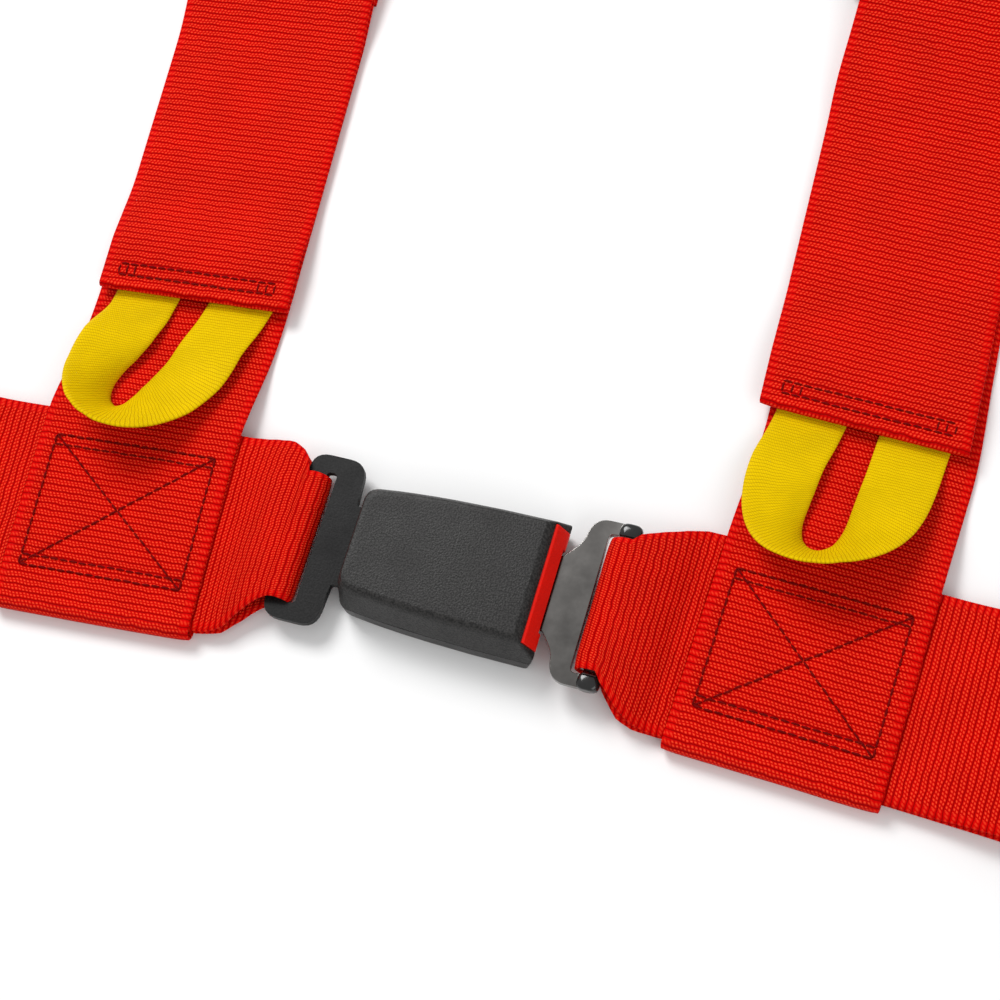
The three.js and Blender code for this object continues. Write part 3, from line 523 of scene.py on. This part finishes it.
# a closed band with rounded selvedges. UVs hold metres along and across the webbing
def webbingMesh(name, stations, thickness, columns, spacing, relief=None, ripple=0.00022, flip=False):
    rows = smoothRun(stations, spacing)
    verts, uvs, travelled = [], [], 0.0
    fullWidth = max(row[2] for row in rows)
    ring = []
    for k in range(columns + 1):
        ring.append((k / columns * 2 - 1, 1.0))
    ring += [(1.0, 0.0)]
    for k in range(columns, -1, -1):
        ring.append((k / columns * 2 - 1, -1.0))
    ring += [(-1.0, 0.0)]
    seed = random.random() * 50
    for k, (centre, across, width, curl) in enumerate(rows):
        before = rows[max(k - 1, 0)][0]
        after = rows[min(k + 1, len(rows) - 1)][0]
        if k:
            travelled += (centre - before).length
        along = (after - before).normalized()
        up = along.cross(across).normalized() * (-1 if flip else 1)
        for share, face in ring:
            rim = abs(share) ** 14
            half = thickness / 2 * (1 - 0.45 * rim)
            outside = share * (width / 2 + (0.35 * half if face == 0.0 else -0.12 * half * rim))
            sink = curl * max(abs(share) - 0.45, 0) ** 2 / 0.3
            wave = noise.noise(Vector((travelled * 28 + seed, share * 1.6, seed)))
            lift = face * half + wave * ripple * (1 - 0.4 * rim) - sink
            if relief and face > 0:
                lift += relief(centre, share * width / 2)
            verts.append(centre + across * outside + up * lift)
            uvs.append((travelled, share * fullWidth / 2))
    size = len(ring)
    faces = []
    for k in range(len(rows) - 1):
        for c in range(size):
            n = (c + 1) % size
            faces.append((k * size + c, k * size + n, (k + 1) * size + n, (k + 1) * size + c))
    faces.append(tuple(range(size - 1, -1, -1)))
    last = (len(rows) - 1) * size
    faces.append(tuple(last + c for c in range(size)))
    mesh = bpy.data.meshes.new(name)
    mesh.from_pydata(verts, [], faces)
    layer = mesh.uv_layers.new(name="webbing")
    for loop in mesh.loops:
        layer.data[loop.index].uv = uvs[loop.vertex_index]
    bm = bmesh.new()
    bm.from_mesh(mesh)
    bmesh.ops.recalc_face_normals(bm, faces=bm.faces)
    bm.to_mesh(mesh)
    bm.free()
    for polygon in mesh.polygons:
        polygon.use_smooth = len(polygon.vertices) == 4
    piece = bpy.data.objects.new(name, mesh)
    bpy.context.collection.objects.link(piece)
    return piece, travelled


def layWebbing(name, piece, look, node):
    piece.data.materials.append(look)
    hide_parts(node)


# stations of a shoulder strap from (v, height) points, with its sideways shift
def stretchOf(half, points, shift):
    return [(half.at(shift(v), v, z), half.u, layout["web"], 0.0) for v, z in points]


# a value that runs straight from one (place, value) pair to the next
def easeBetween(pairs):
    def value(at):
        if at <= pairs[0][0]:
            return pairs[0][1]
        for (a, low), (b, high) in zip(pairs, pairs[1:]):
            if at <= b:
                t = (at - a) / (b - a)
                return low + (high - low) * t
        return pairs[-1][1]
    return value


# the same value with its corners rounded off
def rounded(value, reach=0.1):
    def soft(at):
        return (value(at - reach) + 2 * value(at) + value(at + reach)) / 4
    return soft


meshStep = {"coarse": 2.6 * mm, "fine": 1.4 * mm, "patch": 1.3 * mm, "hem": 1.2 * mm}


def coarse(a, b):
    return meshStep["coarse"]


def fine(a, b):
    return meshStep["fine"]


stitchLook = {"length": 3.3 * mm, "pitch": 3.6 * mm, "radius": 0.38 * mm, "rise": 0.32 * mm, "sides": 6}


# one run of separate stitches between two points, each a short bead of thread
def stitchLine(bm, start, end, up):
    run = end - start
    count = max(1, round(run.length / stitchLook["pitch"]))
    along = run.normalized()
    side = up.cross(along).normalized()
    for k in range(count):
        middle = start + run * ((k + 0.5) / count)
        middle += side * random.uniform(-0.12, 0.12) * mm
        rings = []
        for share, bulge in ((-1, 0.25), (-0.72, 0.8), (0, 1.0), (0.72, 0.8), (1, 0.25)):
            height = stitchLook["rise"] * (1 - share * share * 1.6)
            centre = middle + along * share * stitchLook["length"] / 2 + up * height
            ring = []
            for s in range(stitchLook["sides"]):
                a = 2 * math.pi * s / stitchLook["sides"]
                r = stitchLook["radius"] * bulge
                ring.append(bm.verts.new(centre + side * math.cos(a) * r + up * math.sin(a) * r * 0.8))
            rings.append(ring)
        for one, two in zip(rings, rings[1:]):
            for s in range(stitchLook["sides"]):
                n = (s + 1) % stitchLook["sides"]
                bm.faces.new((one[s], one[n], two[n], two[s])).smooth = True
        bm.faces.new(rings[0][::-1])
        bm.faces.new(rings[-1])


def stitchPiece(name, lines, up, body):
    bm = bmesh.new()
    for start, end in lines:
        stitchLine(bm, start, end, up)
    bmesh.ops.recalc_face_normals(bm, faces=bm.faces)
    mesh = bpy.data.meshes.new(name)
    bm.to_mesh(mesh)
    bm.free()
    mesh.materials.append(looks["thread"])
    piece = bpy.data.objects.new(name, mesh)
    bpy.context.collection.objects.link(piece)
    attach(piece, body)
    return piece


patchStitch = {"halfWidth": 31 * mm, "halfHeight": 25.5 * mm, "double": 3.8 * mm}


def patchSeams():
    w, h, d = patchStitch["halfWidth"], patchStitch["halfHeight"], patchStitch["double"]
    seams = [((-w, -h), (w, -h)), ((-w, h), (w, h)), ((-w, -h), (-w, h)), ((w, -h), (w, h))]
    seams += [((-w, -h + d), (w, -h + d)), ((-w, h - d), (w, h - d))]
    seams += [((-w, -h), (w, h)), ((-w, h), (w, -h))]
    return seams


# how far stitching pulls the webbing down at a point
def seamDepth(seams, u, v, depth=0.45 * mm, reach=1.3 * mm):
    nearest = 1.0
    for (ax, ay), (bx, by) in seams:
        dx, dy = bx - ax, by - ay
        t = max(0, min(1, ((u - ax) * dx + (v - ay) * dy) / (dx * dx + dy * dy)))
        nearest = min(nearest, math.hypot(u - ax - dx * t, v - ay - dy * t))
    return -depth * math.exp(-(nearest / reach) ** 2)


# how each edge of the lap strap draws in toward its slot: reach above and below the middle, in mm
lapTaper = {
    "shares": (0.34, 0.58, 0.84),
    "atSlot": {"left": -1 * mm, "right": 0},
    "left": ((37, 36, 30), (35.5, 29, 24.5)),
    "right": ((34.5, 31, 27), (36.5, 33, 27)),
}


def buildLapStrap(half):
    left = half.toBuckle > 0
    toward = half.u * half.toBuckle
    middle = half.at(0, layout["lapCentre"])
    bar = jointPoint("buckle_swivel" if left else "tongue_swivel")
    barTop = bar.z
    bar = Vector((bar.x, bar.y, 0))
    radius = layout["loopRadius"] if left else layout["sleeveRadius"]
    leave = middle + toward * layout["patchReach"]
    reach = (bar - leave).length
    barAt = layout["patchReach"] + reach
    layer = layout["thick"] + layout["gap"]
    low, main = layout["thick"] / 2 + layer, layout["thick"] / 2 + 2 * layer
    outer = -layout["patchToAdjuster"]
    barHigh = half.barHeight
    web, tight = layout["web"], layout["gathered"]
    near = layout["patchReach"]
    upper, lower = lapTaper[half.side]

    def row(at, height, width=None, curl=0.0, slide=0.0):
        if at <= near:
            return (middle + toward * at + Vector((0, 0, height)), half.v, width or web, curl)
        share = min((at - near) / reach, 1)
        centre = leave.lerp(bar, share) + Vector((1, 0, 0)) * half.toBuckle * max(at - barAt, 0)
        slide = slide + lapTaper["atSlot"][half.side] * share
        across = half.v.lerp(Vector((0, 1, 0)), min(share * 1.4, 1)).normalized()
        return (centre + Vector((0, 0, height)) + across * slide, across, width or web, curl)

    def tapered(step, height, curl=0.0, spread=0.0):
        share, above, below = lapTaper["shares"][step], upper[step] * mm, lower[step] * mm + spread
        return row(near + reach * share, height, above + below, curl, (above - below) / 2)

    rise = barTop + radius - main
    lowBend = (low + barTop - radius) / 2
    rows = [row(1 * mm, low), row(20 * mm, low), row(near, low), tapered(0, lowBend, spread=1 * mm),
            tapered(1, barTop - radius, spread=2.5 * mm), tapered(2, barTop - radius, spread=1 * mm),
            row(barAt - 2 * mm, barTop - radius, tight)]
    rows += [row(a, z, tight) for a, z in arcPoints(barAt, barTop, radius, -90, 90)]
    rows += [row(barAt - 2 * mm, barTop + radius, tight), tapered(2, main + rise * 0.94, 0.8 * mm),
             tapered(1, main + rise * 0.72, 1.8 * mm), tapered(0, main + rise * 0.40, 1.6 * mm),
             row(near + 4 * mm, main + 0.5 * mm, web - 0.6 * mm, 0.4 * mm), row(near - 4 * mm, main),
             row(0, main), row(-near, main), row(-near - 12 * mm, main + 0.4 * mm),
             row((outer - near) / 2, (main + barHigh + layout["loopRadius"]) / 2),
             row(outer + 9 * mm, barHigh + layout["loopRadius"] - 1.2 * mm)]
    rows += [row(a, z) for a, z in arcPoints(outer, barHigh, layout["loopRadius"], 90, 270)]
    rows += [row((outer - near) / 2, (low + barHigh - layout["loopRadius"]) / 2), row(-near, low),
             row(-20 * mm, low), row(-1 * mm, low)]
    name = "lapWebbing_" + half.side
    piece, length = webbingMesh(name, rows, layout["thick"], 30, coarse, flip=left)
    layWebbing(name, piece, looks["webbing"], "lap_strap_" + half.side)
    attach(piece, half.side + "_straps")


def buildShoulderLower(half):
    layer = layout["thick"] + layout["gap"]
    back, front = layout["thick"] / 2, layout["thick"] / 2 + 3 * layer
    foldAt = layout["lapCentre"] - layout["web"] / 2 + 0.7 * mm
    bar = half.along("shoulder_adjuster_tilt")
    high, radius = half.barHeight, layout["loopRadius"]
    points = [(33 * mm, back), (10 * mm, back), (foldAt + 2 * mm, back)]
    points += arcPoints(foldAt, (front + back) / 2, (front - back) / 2, 270, 90)
    points += [(foldAt + 2 * mm, front), (0, front), (36 * mm, front), (47 * mm, front - 1.4 * mm),
               (58 * mm, 3.8 * mm), (68 * mm, 1.7 * mm), (80 * mm, 1.05 * mm), (120 * mm, 1.0 * mm),
               (bar - 64 * mm, 1.0 * mm), (bar - 46 * mm, 3.3 * mm), (bar - 22 * mm, 6.4 * mm),
               (bar - 7 * mm, high + radius - 0.7 * mm)]
    points += arcPoints(bar, high, radius, 90, -90)
    points += [(bar - 10 * mm, 1.2 * mm), (bar - 40 * mm, 1.0 * mm)]
    shift = easeBetween([(34 * mm, 0), (84 * mm, half.low), (bar - 40 * mm, half.high)])
    rows = stretchOf(half, points, shift)
    seams = patchSeams()

    def relief(centre, u):
        v = (centre - half.centre).dot(half.v)
        if v > 38 * mm or centre.z < 5 * mm:
            return 0.0
        return seamDepth(seams, u, v)

    def spacing(a, b):
        v = (b[0] - half.centre).dot(half.v)
        return meshStep["patch"] if v < 42 * mm and b[0].z > 5 * mm else meshStep["coarse"]

    name = "shoulderWebbing_" + half.side
    piece, length = webbingMesh(name, rows, layout["thick"], 56, spacing, relief=relief, flip=True)
    layWebbing(name, piece, looks["webbing"],
               "shoulder_lower_strap_" + half.side)
    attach(piece, half.side + "_straps")
    top = front + layout["thick"] / 2 - 0.12 * mm
    lines = [(half.at(a, b, top), half.at(c, d, top)) for (a, b), (c, d) in seams]
    stitchPiece("patchStitching_" + half.side, lines, Vector((0, 0, 1)), half.side + "_straps")


def buildRearStrap(half):
    grip = half.along("grip_turn")
    gripHigh = jointPoint("grip_turn_" + half.side).z
    anchor = half.along("shoulder_anchor_swivel")
    rear = grip - layout["frontBarToGrip"] + layout["rearBar"]
    points = arcPoints(grip, gripHigh, layout["gripWrap"], 50, 0, 5)
    points += [(rear - 5.6 * mm, 6.6 * mm), (rear - 3 * mm, 4 * mm)]
    points += rearRun(rear, anchor, half.barHeight)
    rows = stretchOf(half, points, lambda v: half.high)
    name = "shoulderRearWebbing_" + half.side
    piece, length = webbingMesh(name, rows, layout["thick"], 30, coarse)
    layWebbing(name, piece, looks["webbing"],
               "shoulder_rear_strap_" + half.side)
    top = half.at(half.high, grip + 3.4 * mm, gripHigh + 4.1 * mm)
    half.at(half.high, rear - 3 * mm, 4 * mm)
    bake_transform(piece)
    stitchPiece("shoulderAnchorStitching_" + half.side, anchorSeams(half.at, half.high, anchor),
                Vector((0, 0, 1)), "shoulder_adjuster_" + half.side)


# from under the adjuster's rear bar to the bolt-in plate, round its bar and back
def rearRun(rear, anchor, high):
    radius = layout["loopRadius"]
    points = [(rear, 3.1 * mm), (rear + 8 * mm, 2.8 * mm), (rear + 20 * mm, 1.4 * mm),
              (rear + 30 * mm, 1 * mm), (anchor - 64 * mm, 1 * mm), (anchor - 46 * mm, 3.3 * mm),
              (anchor - 22 * mm, 6.4 * mm), (anchor - 7 * mm, high + radius - 0.7 * mm)]
    points += arcPoints(anchor, high, radius, 90, -90)
    return points + [(anchor - 10 * mm, 1.2 * mm), (anchor - 40 * mm, 1 * mm)]


# places behind the slot bar, and heights of the webbing there
anchorStitch = {"near": 24 * mm, "far": 42 * mm, "halfWidth": 31 * mm, "nearHeight": 7.25 * mm,
                "farHeight": 4.95 * mm}


# a boxed seam through both layers just in front of a slot bar
def anchorSeams(at, centre, anchor):
    near, far = anchor - anchorStitch["near"], anchor - anchorStitch["far"]
    side, zNear, zFar = anchorStitch["halfWidth"], anchorStitch["nearHeight"], anchorStitch["farHeight"]
    a, b = at(centre - side, near, zNear), at(centre + side, near, zNear)
    c, d = at(centre - side, far, zFar), at(centre + side, far, zFar)
    return [(a, b), (c, d), (a, c), (b, d), (a, d), (b, c)]


hemStitch = {"rows": (4.6 * mm, 9.2 * mm), "halfWidth": 31 * mm, "endPitch": 3.2 * mm, "dent": 0.6 * mm}


def buildTail(half):
    grip = half.along("grip_turn")
    bar = half.along("shoulder_adjuster_tilt")
    gripHigh = jointPoint("grip_turn_" + half.side).z
    wrap = 5.34 * mm
    top = gripHigh + wrap
    low = layout["thick"] * 1.5 + layout["gap"]
    hemLow = low + 2.0 * mm
    hemHigh = hemLow + layout["thick"] + layout["gap"]
    hem, fold = layout["hem"], (layout["thick"] + layout["gap"]) / 2
    end = hem + layout["hemLength"]
    points = arcPoints(grip, gripHigh, wrap, 48, 96, 5)
    points += [(bar + 8 * mm, top - 0.8 * mm), (bar, top - 1.7 * mm), (bar - 8 * mm, top - 3.6 * mm),
               (bar - 22 * mm, 9.9 * mm), (bar - 46 * mm, 6.4 * mm), (bar - 62 * mm, low + 0.4 * mm),
               (bar - 74 * mm, low), (end + 40 * mm, low), (end + 26 * mm, low + 0.3 * mm),
               (end + 10 * mm, hemLow + 0.9 * mm), (end, hemHigh), (hem + 5 * mm, hemHigh)]
    points += arcPoints(hem + fold, (hemLow + hemHigh) / 2, fold, 90, 270, 8)
    points += [(hem + 8 * mm, hemLow), (end - 2 * mm, hemLow)]
    shift = easeBetween([(hem, half.tail), (bar - 40 * mm, half.high)])
    rows = stretchOf(half, points, shift)
    hemRows = [hem + row for row in hemStitch["rows"]]

    def relief(centre, u):
        v = (centre - half.centre).dot(half.v)
        if v > end or centre.z < hemHigh - 0.5 * mm or abs(u) > 33 * mm:
            return 0.0
        return -sum(hemStitch["dent"] * math.exp(-((v - row) / (1.3 * mm)) ** 2) for row in hemRows)

    def spacing(a, b):
        v = (b[0] - half.centre).dot(half.v)
        return meshStep["hem"] if v < end + 6 * mm else meshStep["coarse"]

    name = "shoulderTail_" + half.side
    piece, length = webbingMesh(name, rows, layout["thick"], 40, spacing, relief=relief)
    layWebbing(name, piece, looks["webbing"],
               "shoulder_tail_" + half.side)
    hinge = jointPoint("tail_lift_" + half.side)
    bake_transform(piece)
    z = hemHigh + layout["thick"] / 2 - 0.25 * mm
    side = hemStitch["halfWidth"]
    lines = []
    for row in hemRows:
        c = shift(row)
        lines.append((half.at(c - side, row, z), half.at(c + side, row, z)))
    c = shift(hem)
    for s in (-1, 1):
        for k in range(3):
            u = c + s * (side - k * hemStitch["endPitch"])
            lines.append((half.at(u, hemRows[0], z), half.at(u, hemRows[1], z)))
    stitchPiece("hemStitching_" + half.side, lines, Vector((0, 0, 1)), "shoulder_tail_" + half.side)


# tilt and slide run round the turn from the left leg to the right one, as shares of the greatest
pullLoop = {
    "width": 25 * mm, "thick": 1.5 * mm, "legGap": 12 * mm, "turn": 51 * mm,
    "left": {"lean": 66, "slide": -15,
             "tilt": ((0, 0.2), (0.25, 0.9), (0.45, 1), (0.62, 0.65), (0.8, 0.2), (1, 0)),
             "drift": ((0, 0.25), (0.28, 0.85), (0.6, 1), (1, 0.38))},
    "right": {"lean": 64, "slide": -5,
              "tilt": ((0, 0), (0.2, 0.35), (0.42, 1), (0.66, 1), (0.85, 0.4), (1, 0)),
              "drift": ((0, 0.6), (0.4, 1), (1, 0.1))},
}


def buildPullLoop(half):
    shape = pullLoop[half.side]
    tiltAt, driftAt = rounded(easeBetween(shape["tilt"])), rounded(easeBetween(shape["drift"]))
    radius = (pullLoop["legGap"] + pullLoop["width"]) / 2
    flat = layout["thick"] + layout["gap"] + pullLoop["thick"] / 2
    hem = layout["hem"]
    legEnd = hem + layout["hemLength"] - 1 * mm
    onPatch = layout["thick"] + 3 * (layout["thick"] + layout["gap"])
    onPatch += pullLoop["thick"] / 2 + layout["gap"]
    onStrap = flat + 3.4 * mm
    rows = []

    def leg(hand, v, z, drift=0.0):
        centre = half.at(half.tail + hand * radius + drift, v, z)
        rows.append((centre, half.u * hand, pullLoop["width"], 0.0))

    leg(-1, legEnd, flat + 0.1 * mm)
    leg(-1, hem + 2 * mm, flat + 0.1 * mm)
    leg(-1, hem - 6 * mm, flat + 0.6 * mm, driftAt(0) * shape["slide"] * 0.3 * mm)
    steps = 20
    for k in range(steps + 1):
        share = k / steps
        turn = math.pi * (1 + share)
        bend = math.sin(math.pi * share) ** 0.9
        outward = half.u * math.cos(turn) + half.v * math.sin(turn)
        tilt = math.radians(shape["lean"]) * tiltAt(share)
        centre = half.at(half.tail + driftAt(share) * shape["slide"] * mm, pullLoop["turn"])
        centre += outward * radius
        centre += half.v * (1 - bend) * 16 * mm
        centre.z = onStrap + (onPatch - onStrap) * bend + pullLoop["width"] / 2 * math.sin(tilt)
        across = outward * math.cos(tilt) + Vector((0, 0, math.sin(tilt)))
        rows.append((centre, across, pullLoop["width"], 0.0))
    leg(1, hem - 6 * mm, flat + 0.6 * mm, driftAt(1) * shape["slide"] * 0.3 * mm)
    leg(1, hem + 2 * mm, flat + 0.1 * mm)
    leg(1, legEnd, flat + 0.1 * mm)
    name = "pullLoop_" + half.side + "_webbing"
    piece, length = webbingMesh(name, rows, pullLoop["thick"], 18, fine, ripple=0.00010, flip=True)
    layWebbing(name, piece, looks["pull_yellow"],
               "pull_loop_" + half.side)
    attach(piece, "shoulder_tail_" + half.side)


lapHem = {"rows": (4.5 * mm, 9 * mm), "halfWidth": 31 * mm}


# anchor side of the lap strap: wraps the grip bar, and its tail lies back over the strap
def buildLapAnchorStrap(half):
    outward = -half.u * half.toBuckle
    lapBar = layout["patchToAdjuster"]
    grip = lapBar + layout["frontBarToGrip"]
    anchor = (jointPoint("lap_anchor_swivel_" + half.side) - half.centre).dot(outward)
    gripHigh = half.barHeight + layout["gripAboveBar"]
    top = gripHigh + layout["gripWrap"]
    rear = lapBar + layout["rearBar"]
    over = rear + 8 * mm
    fold = (layout["thick"] + layout["gap"]) / 2
    tailEnd = anchor - 65 * mm
    tailLow, tailHigh = 4.2 * mm, 4.2 * mm + 2 * fold
    points = [(tailEnd - 12 * mm, tailHigh), (tailEnd - 2 * mm, tailHigh)]
    points += arcPoints(tailEnd, tailLow + fold, fold, 90, -90, 8)
    points += [(tailEnd - 12 * mm, tailLow), (over + 24 * mm, tailLow + 1.5 * mm),
               (over + 4 * mm, top - 3.4 * mm), (over - 12 * mm, top - 0.5 * mm)]
    points += arcPoints(grip, gripHigh, layout["gripWrap"], 90, 270, 12)
    points += [(rear - 2 * mm, 3.6 * mm)] + rearRun(rear, anchor, half.barHeight)
    centre = half.at(0, layout["lapCentre"])
    rows = [(centre + outward * a + Vector((0, 0, z)), half.v, layout["web"], 0.0) for a, z in points]
    name = "lapAnchorWebbing_" + half.side
    piece, length = webbingMesh(name, rows, layout["thick"], 30, coarse, flip=half.toBuckle > 0)
    layWebbing(name, piece, looks["webbing"],
               "lap_anchor_strap_" + half.side)
    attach(piece, "lap_adjuster_" + half.side)

    def at(u, a, z):
        return centre + outward * a + half.v * u + Vector((0, 0, z))

    stitchPiece("lapAnchorStitching_" + half.side, anchorSeams(at, 0, anchor), Vector((0, 0, 1)),
                "lap_adjuster_" + half.side)
    z = tailHigh + layout["thick"] / 2 - 0.2 * mm
    side = lapHem["halfWidth"]
    lines = [(at(-side, tailEnd - back, z), at(side, tailEnd - back, z)) for back in lapHem["rows"]]
    stitchPiece("lapHemStitching_" + half.side, lines, Vector((0, 0, 1)), "lap_adjuster_" + half.side)


for half in halves:
    buildLapStrap(half)
    buildShoulderLower(half)
    buildRearStrap(half)
    buildTail(half)
    buildPullLoop(half)
    buildLapAnchorStrap(half)
print("webbing and stitching ready")


edgeSoftness = {"segments": 3, "sharperThan": 30}


# the CAD piece with its flat faces merged and its edges rounded
def softenedCopy(node, name, body, slotName, width):
    mesh = frame["nodes"][node].data.copy()
    mesh.name = name
    mesh.materials.clear()
    mesh.materials.append(looks[slotName])
    bm = bmesh.new()
    bm.from_mesh(mesh)
    bmesh.ops.remove_doubles(bm, verts=bm.verts, dist=2e-6)
    bmesh.ops.dissolve_limit(bm, angle_limit=math.radians(1.0), verts=bm.verts, edges=bm.edges)
    for face in bm.faces:
        face.smooth = True
    bm.to_mesh(mesh)
    bm.free()
    piece = bpy.data.objects.new(name, mesh)
    bpy.context.collection.objects.link(piece)
    bevel = piece.modifiers.new("edges", "BEVEL")
    bevel.width = width
    bevel.segments = edgeSoftness["segments"]
    bevel.limit_method = "ANGLE"
    bevel.angle_limit = math.radians(edgeSoftness["sharperThan"])
    piece.modifiers.new("shading", "WEIGHTED_NORMAL").keep_sharp = True
    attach(piece, body)
    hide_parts(node)
    return piece


sleeveEnd = {"from": 25.4 * mm, "to": 30.6 * mm, "width": 8.2 * mm, "height": 5.4 * mm, "sides": 28}


# the moulded end of the sleeve, clipped over the corner of the tongue's outer bar
def buildSleeveEnd(name, hand):
    middle = jointPoint("tongue_swivel")
    sides = sleeveEnd["sides"]
    bm = bmesh.new()
    rings = []
    for along, share in ((0, 0.9), (0.12, 1.0), (0.62, 1.0), (0.84, 0.9), (0.96, 0.68), (1, 0.4)):
        y = middle.y + hand * (sleeveEnd["from"] + (sleeveEnd["to"] - sleeveEnd["from"]) * along)
        ring = []
        for k in range(sides):
            turn = 2 * math.pi * k / sides
            c, d = math.cos(turn), math.sin(turn)
            x = math.copysign(abs(c) ** 0.6, c) * sleeveEnd["width"] / 2 * share
            z = math.copysign(abs(d) ** 0.7, d) * sleeveEnd["height"] / 2 * (0.35 + 0.65 * share)
            ring.append(bm.verts.new((middle.x + x, y, middle.z + z)))
        rings.append(ring)
    for one, two in zip(rings, rings[1:]):
        for k in range(sides):
            n = (k + 1) % sides
            bm.faces.new((one[k], one[n], two[n], two[k])).smooth = True
    bm.faces.new(rings[0][::-1])
    bm.faces.new(rings[-1])
    bmesh.ops.recalc_face_normals(bm, faces=bm.faces)
    mesh = bpy.data.meshes.new(name)
    bm.to_mesh(mesh)
    bm.free()
    mesh.materials.append(looks["sleeve_black"])
    piece = bpy.data.objects.new(name, mesh)
    bpy.context.collection.objects.link(piece)
    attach(piece, "tongue")


# edge radius of each piece of hardware
softEdge = {"anchorFrame": 0.7 * mm, "tongueChromePlate": 0.6 * mm, "tongueSleeve": 0.4 * mm,
            "redButton": 0.6 * mm, "topCover": 0.8 * mm, "bottomCover": 0.6 * mm, "strapHardware": 0.5 * mm}


def buildHardware():
    buildSleeveEnd("sleeveEndUpper", 1)
    buildSleeveEnd("sleeveEndLower", -1)
    for node, name, body, slotName in (
            ("buckle_frame", "anchorFrame", "buckle", "anchor_black"),
            ("tongue_plate", "tongueChromePlate", "tongue", "chrome"),
            ("tongue_bar_sleeve", "tongueSleeve", "tongue", "sleeve_black"),
            ("release_button", "redButton", "button", "button_red"),
            ("buckle_top_cover", "topCover", "buckle", "cover_plastic"),
            ("buckle_bottom_cover", "bottomCover", "buckle", "cover_plastic")):
        softenedCopy(node, name, body, slotName, softEdge[name])
    for side in ("left", "right"):
        for place in ("shoulder", "lap"):
            softenedCopy(f"{place}_adjuster_frame_{side}", f"{place}Adjuster_{side}",
                         f"{place}_adjuster_{side}", "anchor_black", softEdge["strapHardware"])
            softenedCopy(f"{place}_anchor_plate_{side}", f"{place}AnchorPlate_{side}",
                         f"{place}_anchor_{side}", "anchor_black", softEdge["strapHardware"])


buildHardware()
nodeLooks = {row["node"]: row["material_slot"] for row in frame["record"]["subparts"]}
for name, obj in frame["nodes"].items():
    obj.data.materials.clear()
    obj.data.materials.append(looks[nodeLooks[name]])
print("hardware ready")
